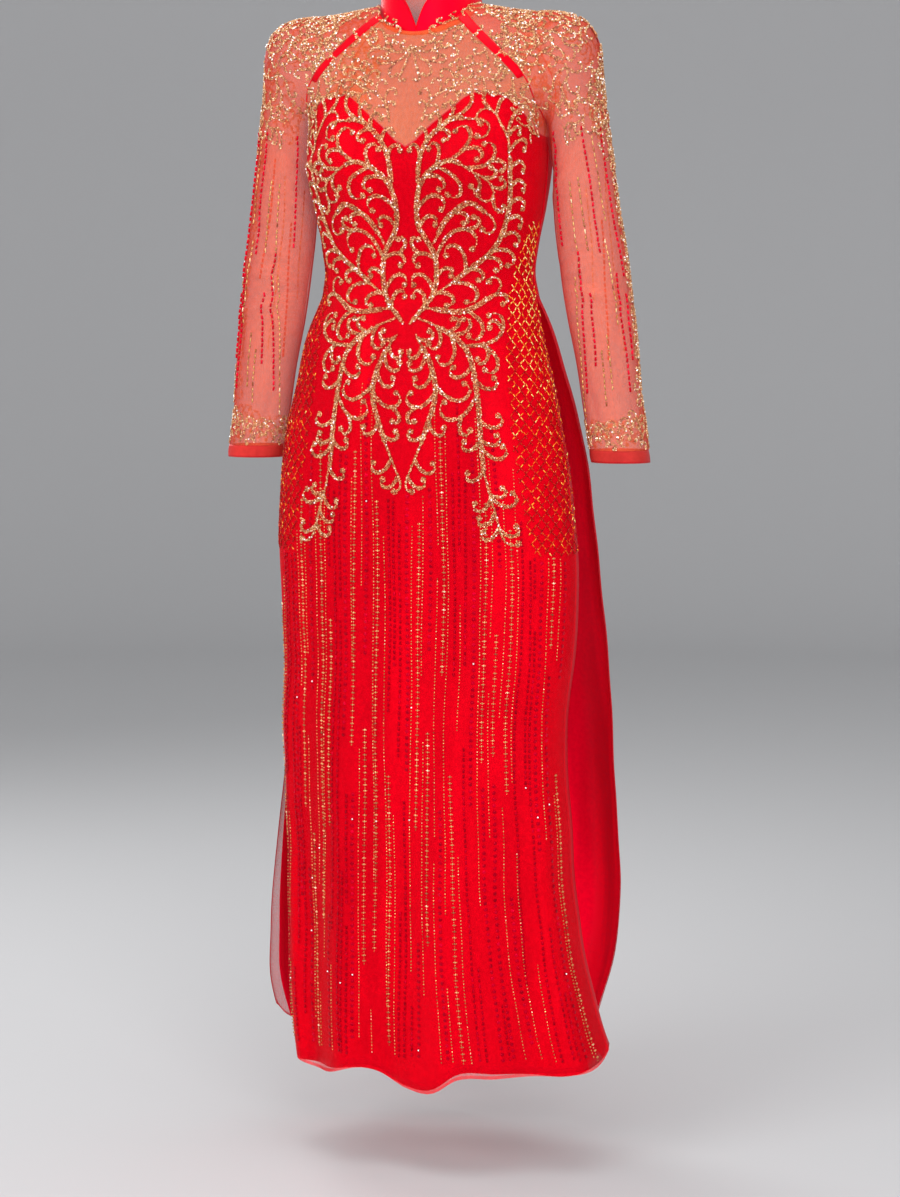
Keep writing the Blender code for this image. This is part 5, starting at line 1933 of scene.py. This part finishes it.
@dataclass
class ShoulderBeadwork:
    """Fine gold sprigs over the yoke, the raglan seams and the sleeve caps."""

    beads: BeadBox
    finishes: BeadFinishes
    bands: tuple[Array, ...]
    levels: tuple[float, ...] = (.07, .18, .31, .44, .57, .7, .83, .96)
    spacing: float = 0.033
    thinning: float = 0.0013
    back_sprigs: tuple[tuple[float, float, float, int], ...] = (
        (.118, -.05, -70, 1), (.13, -.084, -100, 0), (.136, -.122, -80, 1))

    def build(self) -> list[Piece]:
        """Makes the beadwork."""
        self.crystals, self.sprig = BeadLot(), SPRIG_DESIGN.strokes()
        pieces = []
        for side in Side:
            beader = self.beader(40 + side.value)
            for number, (turn, down) in enumerate(self.places()):
                stamp = self.cap_stamp(side, turn, down, number * 73 % 180 - 90)
                beader.fill(self.pattern(side, number % 3 == 2), stamp.place)
            pieces.append(self.piece("sleeve_cap_sprigs_" + side.label, beader, "sleeve_net",
                                     50 + side.value))
        beader = self.beader(60)
        middle = Stamp(FIGURE.settle(np.array([[0.0, -0.085, -0.070]]))[0], np.array([1.0, 0.0, 0.0]))
        shift = np.array([0.0, middle.origin[2], 0.0])
        beader.fill([(path - shift, width) for path, width in YOKE_DESIGN.strokes()], middle.place)
        pieces.append(self.piece("yoke_spray", beader, "beaded_net", 61))
        beader = self.beader(70)
        for side in Side:
            for x, z, angle, small in self.back_sprigs:
                origin = FIGURE.settle(np.array([[x * side.value, 0.08, z]]))[0]
                along = np.array([cos(radians(angle)) * side.value, 0.0, sin(radians(angle))])
                beader.fill(self.pattern(side, small), Stamp(origin, along).place)
        pieces.append(self.piece("back_yoke_sprigs", beader, "sheer_net", 71))
        pieces.append(self.beads.scatter("shoulder_crystals", BeadKind.CRYSTAL, self.crystals, 72, 0.3,
                                         self.finishes.crystal, "beaded_net"))
        return pieces

    def places(self) -> list[tuple[float, float]]:
        """Where the sprigs start on a sleeve cap: round it from front to back, and down from the neck."""
        places = [(.01, down) for down in (.12, .34, .56, .76)]
        for row, down in enumerate(self.levels):
            count = max(2, round((0.055 + 0.215 * down) / self.spacing))
            for column in range(count):
                turn = (column + 0.35 + 0.3 * (row % 2)) / count
                if down < 0.60 or 0.30 < turn < 0.66 or (down < 0.80 and column % 2):
                    places.append((turn, down))
        return places

    def beader(self, seed: int) -> ScrollBeader:
        """A beader for fine work that leaves the raglan bands mostly bare."""
        return ScrollBeader(seed, bead=0.0018, row_gap=0.0017, sparkle=0.022, knob=0.0030, bare=self.bands)

    def pattern(self, side: Side, small: bool | int) -> list[tuple[Array, float]]:
        """The sprig's strokes, turned over for one side and shortened to its first few if small."""
        strokes = self.sprig[:5] if small else self.sprig
        return [(path * np.array([1.0, side.value, side.value]), width) for path, width in strokes]

    def piece(self, name: str, beader: ScrollBeader, slot: str, seed: int) -> Piece:
        """Turns one beader's beads into a piece and keeps its crystals."""
        self.crystals.take(beader.crystals)
        lot = beader.lot.thin(self.thinning)
        return self.beads.scatter(name, BeadKind.SEED, lot, seed, 0.9, self.finishes.gold, slot)

    @staticmethod
    def cap_stamp(side: Side, turn: float, down: float, angle: float) -> Stamp:
        """A stamp on the sleeve cap, turned by an angle from the line down the arm."""
        ends = sleeve_cap(turn, np.array([down - 0.03, down, min(down + 0.03, 1.0)]))
        here, ahead = ends[1], ends[2] - ends[0]
        out = FIGURE.normal(here[None])[0]
        along = unit(ahead)
        course = along * cos(radians(angle)) + np.cross(out, along) * sin(radians(angle))
        return Stamp(here * side.mirror, course * side.mirror)


@dataclass
class SleeveBeadwork:
    """Dashed strands down a sleeve, a gold line along its outside and a scrolled border above the cuff."""

    side: Side
    beads: BeadBox
    finishes: BeadFinishes
    strands: tuple[tuple[float, float, float, int], ...] = (
        (-.02, -.15, -.33, 1), (-.036, -.16, -.262, 0), (-.036, -.285, -.385, 0),
        (-.052, -.15, -.3, 1), (-.094, -.155, -.29, 1), (-.066, -.21, -.3, 0), (-.078, -.215, -.345, 0),
        (-.026, -.325, -.47, 1), (-.014, -.35, -.43, 1), (-.06, -.42, -.485, 0),
        (-.07, -.35, -.44, 1), (-.08, -.3, -.475, 1), (-.088, -.33, -.5, 0),
        (-.05, -.4, -.47, 0), (.03, -.18, -.33, 1), (.048, -.2, -.42, 0),
        (.064, -.26, -.43, 1), (.08, -.22, -.36, 0))

    def build(self) -> list[Piece]:
        """Makes the beadwork."""
        shape = SleeveShape(self.side)
        chart = sleeve_map(shape)
        rng = np.random.default_rng(80 + self.side.value)
        gold, wine = BeadLot(), BeadLot()
        for arc, start, end, kind in self.strands:
            z = np.arange(start, end, -0.0070)
            z = z + rng.normal(0, 0.0003, len(z))
            course = arc + 0.004 * np.sin((z - start) * 14 + arc * 60)
            points, normals, ways = chart.place(course, z, np.full(len(z), -pi / 2))
            width = 0.0027 if kind else 0.0018
            size = sides(rng.uniform(0.0046, 0.0056, len(z)), width, width)
            (wine if kind else gold).add(points, normals, ways, size,
                                         np.clip(rng.normal(0.5, 0.22, len(z)), 0, 1))
        beader = ScrollBeader(90 + self.side.value, bead=0.0017, row_gap=0.0017, sparkle=0.018, knob=0.0030)
        beader.fill(SLEEVE_DESIGN.strokes(), chart.place)
        return [self.beads.scatter(f"sleeve_{name}_{self.side.label}", kind, lot, seed, tumble, finish,
                                   "sleeve_net")
                for name, kind, lot, seed, tumble, finish in (
                    ("scrolls", BeadKind.SEED, beader.lot, 91, 0.9, self.finishes.gold),
                    ("gold_dashes", BeadKind.BUGLE, gold, 92, 0.15, self.finishes.foil),
                    ("wine_dashes", BeadKind.BUGLE, wine, 93, 0.15, self.finishes.ruby),
                    ("crystals", BeadKind.CRYSTAL, beader.crystals, 94, 0.3, self.finishes.crystal))]


# ---- Studio
def aim_object(piece: Piece, place: tuple[float, float, float], target: tuple[float, float, float]) -> None:
    """Puts a light or camera at a place and points it at a target."""
    piece.location = place
    piece.rotation_euler = (Vector(target) - Vector(place)).to_track_quat("-Z", "Y").to_euler()


@dataclass(frozen=True)
class Studio:
    """A pale floor, a pale wall, soft lights and the camera."""

    floor_z: float = -1.435
    camera_place: tuple[float, float, float] = (1.0615, -3.4988, -0.3465)
    camera_target: tuple[float, float, float] = (0.0447, -0.0660, -0.7228)
    lens: float = 87.67
    sensor: float = 36.0
    flat: float = 5.2
    curve: float = 1.8
    wall: float = 3.6
    segments: int = 64

    def build(self) -> None:
        """Makes the floor, the lights and the camera."""
        self.sweep()
        self.lights()
        self.camera()
        world = bpy.data.worlds.new("pale_studio")
        world.use_nodes = True
        world.node_tree.nodes["Background"].inputs["Color"].default_value = (0.86, 0.87, 0.88, 1.0)
        world.node_tree.nodes["Background"].inputs["Strength"].default_value = 0.55
        bpy.context.scene.world = world

    def sweep(self) -> None:
        """A round floor that curves up into a wall on every side."""
        climb = np.linspace(0, pi / 2, 13)
        reach = np.concatenate([[1.0], self.flat + self.curve * np.sin(climb), [self.flat + self.curve]])
        level = self.floor_z + np.concatenate([[0.0], self.curve * (1 - np.cos(climb)), [self.wall]])
        turn = np.arange(self.segments) / self.segments * 2 * pi
        rings = np.stack([reach[:, None] * np.cos(turn), reach[:, None] * np.sin(turn),
                          np.repeat(level[:, None], self.segments, axis=1)], axis=-1)
        faces = [[(i + 1) * self.segments + j, (i + 1) * self.segments + (j + 1) % self.segments,
                  i * self.segments + (j + 1) % self.segments, i * self.segments + j]
                 for i in range(len(reach) - 1) for j in range(self.segments)]
        mesh = bpy.data.meshes.new("studio_floor")
        mesh.from_pydata(rings.reshape(-1, 3).tolist(), [], [list(range(self.segments)), *faces])
        mesh.shade_smooth()
        material, wire, shader = new_material("pale_floor")
        wire.feed(shader, {"Base Color": (.55, .55, .56, 1.0), "Roughness": .8})
        mesh.materials.append(material)
        new_object("studio_floor", mesh)

    def lights(self) -> None:
        """Large soft lights: a key from the front left, a fill, and one from above behind."""
        for name, place, size, power in (
                ("key", (-1.7, -3.2, .9), 2.4, 70.0), ("fill", (2.4, -4.4, .35), 2.4, 172.0),
                ("top", (.2, -.6, 2.4), 2.2, 40.0), ("rim", (-1.6, 1.5, .8), 1.4, 26.0)):
            data = bpy.data.lights.new("studio_" + name, "AREA")
            data.shape, data.size, data.energy = "DISK", size, power
            aim_object(new_object("studio_" + name, data), place, (0.0, 0.0, -0.6))

    def camera(self) -> None:
        """The camera at the working view."""
        data = bpy.data.cameras.new("studio_camera")
        data.lens, data.sensor_fit = self.lens, "VERTICAL"
        data.sensor_height = self.sensor
        data.clip_end = 50.0
        camera = new_object("studio_camera", data)
        aim_object(camera, self.camera_place, self.camera_target)
        bpy.context.scene.camera = camera


def main() -> None:
    """Builds the tunic piece by piece, then the studio."""
    logging.basicConfig(level=logging.INFO, format="%(name)s %(message)s")
    groups = ClothGroups(weave_group(), net_group(), edge_group(), tone_group())
    satin = SatinFinish("red_satin", (.85, 0.0, .01), (.76, 0.0, .008)).build(groups)
    # The back lining: a brighter copy of the red satin with a painted glow, painted light that lifts the
    # lining lying in the front panel's shade.
    painted_bright_back_satin = SatinFinish("painted_bright_back_satin", (1.0, 0.0, .024), (.95, 0.0, .02), painted_glow=.06).build(groups)
    collar_cloth = SatinFinish("collar_satin", (1.0, 0.0, .02), (.92, 0.0, .016),
                               hem_width=.003).build(groups)
    cuff_satin = SatinFinish("cuff_satin", (.74, .055, .045), (.62, .035, .03), hem_width=.003).build(groups)
    beaded_net = NetFinish("beaded_net", (.8, 0.0, .01), (.87, .185, .05), .55).build(groups)
    back_net = NetFinish("sheer_net", (.72, 0.0, .014), (.82, .12, .055), .66).build(groups)
    sleeve_net = NetFinish("sleeve_net", (.56, .018, .026), (.92, .145, .062), .55).build(groups)

    front = TunicPanel(PanelShape(False), Cut(.52, 1.33, .62), Cut(.56, 1.19, .6))
    back = TunicPanel(PanelShape(True), Cut(.6, 1.33, .66), Cut(.5, 1.21, .54))
    front_cloth = front.build(beaded_net, satin)
    back_cloth = back.build(back_net, painted_bright_back_satin)
    beads, finishes = BeadBox(), bead_finishes()
    front_beads = FrontBeadwork(front, beads, finishes).build()
    bands = tuple(RaglanBand(side).strip(front).mean(axis=1) for side in Side)
    shoulder_beads = ShoulderBeadwork(beads, finishes, bands).build()
    for side in Side:
        sleeve_beads = SleeveBeadwork(side, beads, finishes).build()
        sleeve_beads += [piece for piece in shoulder_beads if piece.name == "sleeve_cap_sprigs_" + side.label]
        Sleeve(side).build(sleeve_net, cuff_satin, sleeve_beads)
        RaglanBand(side).build(front, satin)
    Collar().build(collar_cloth, satin)
    Seams().build(front, back, satin)
    front_beads += [piece for piece in shoulder_beads if piece.name in ("yoke_spray", "shoulder_crystals")]
    back_beads = [piece for piece in shoulder_beads if piece.name == "back_yoke_sprigs"]
    for panel, cloth, on_it in ((front, front_cloth, front_beads), (back, back_cloth, back_beads)):
        panel.net_cut.declare(cloth["net"], on_it)
        panel.satin_cut.declare(cloth["satin"])
    Studio().build()
    bpy.context.scene.view_settings.view_transform = "Standard"


if __name__ == "__main__":
    main()
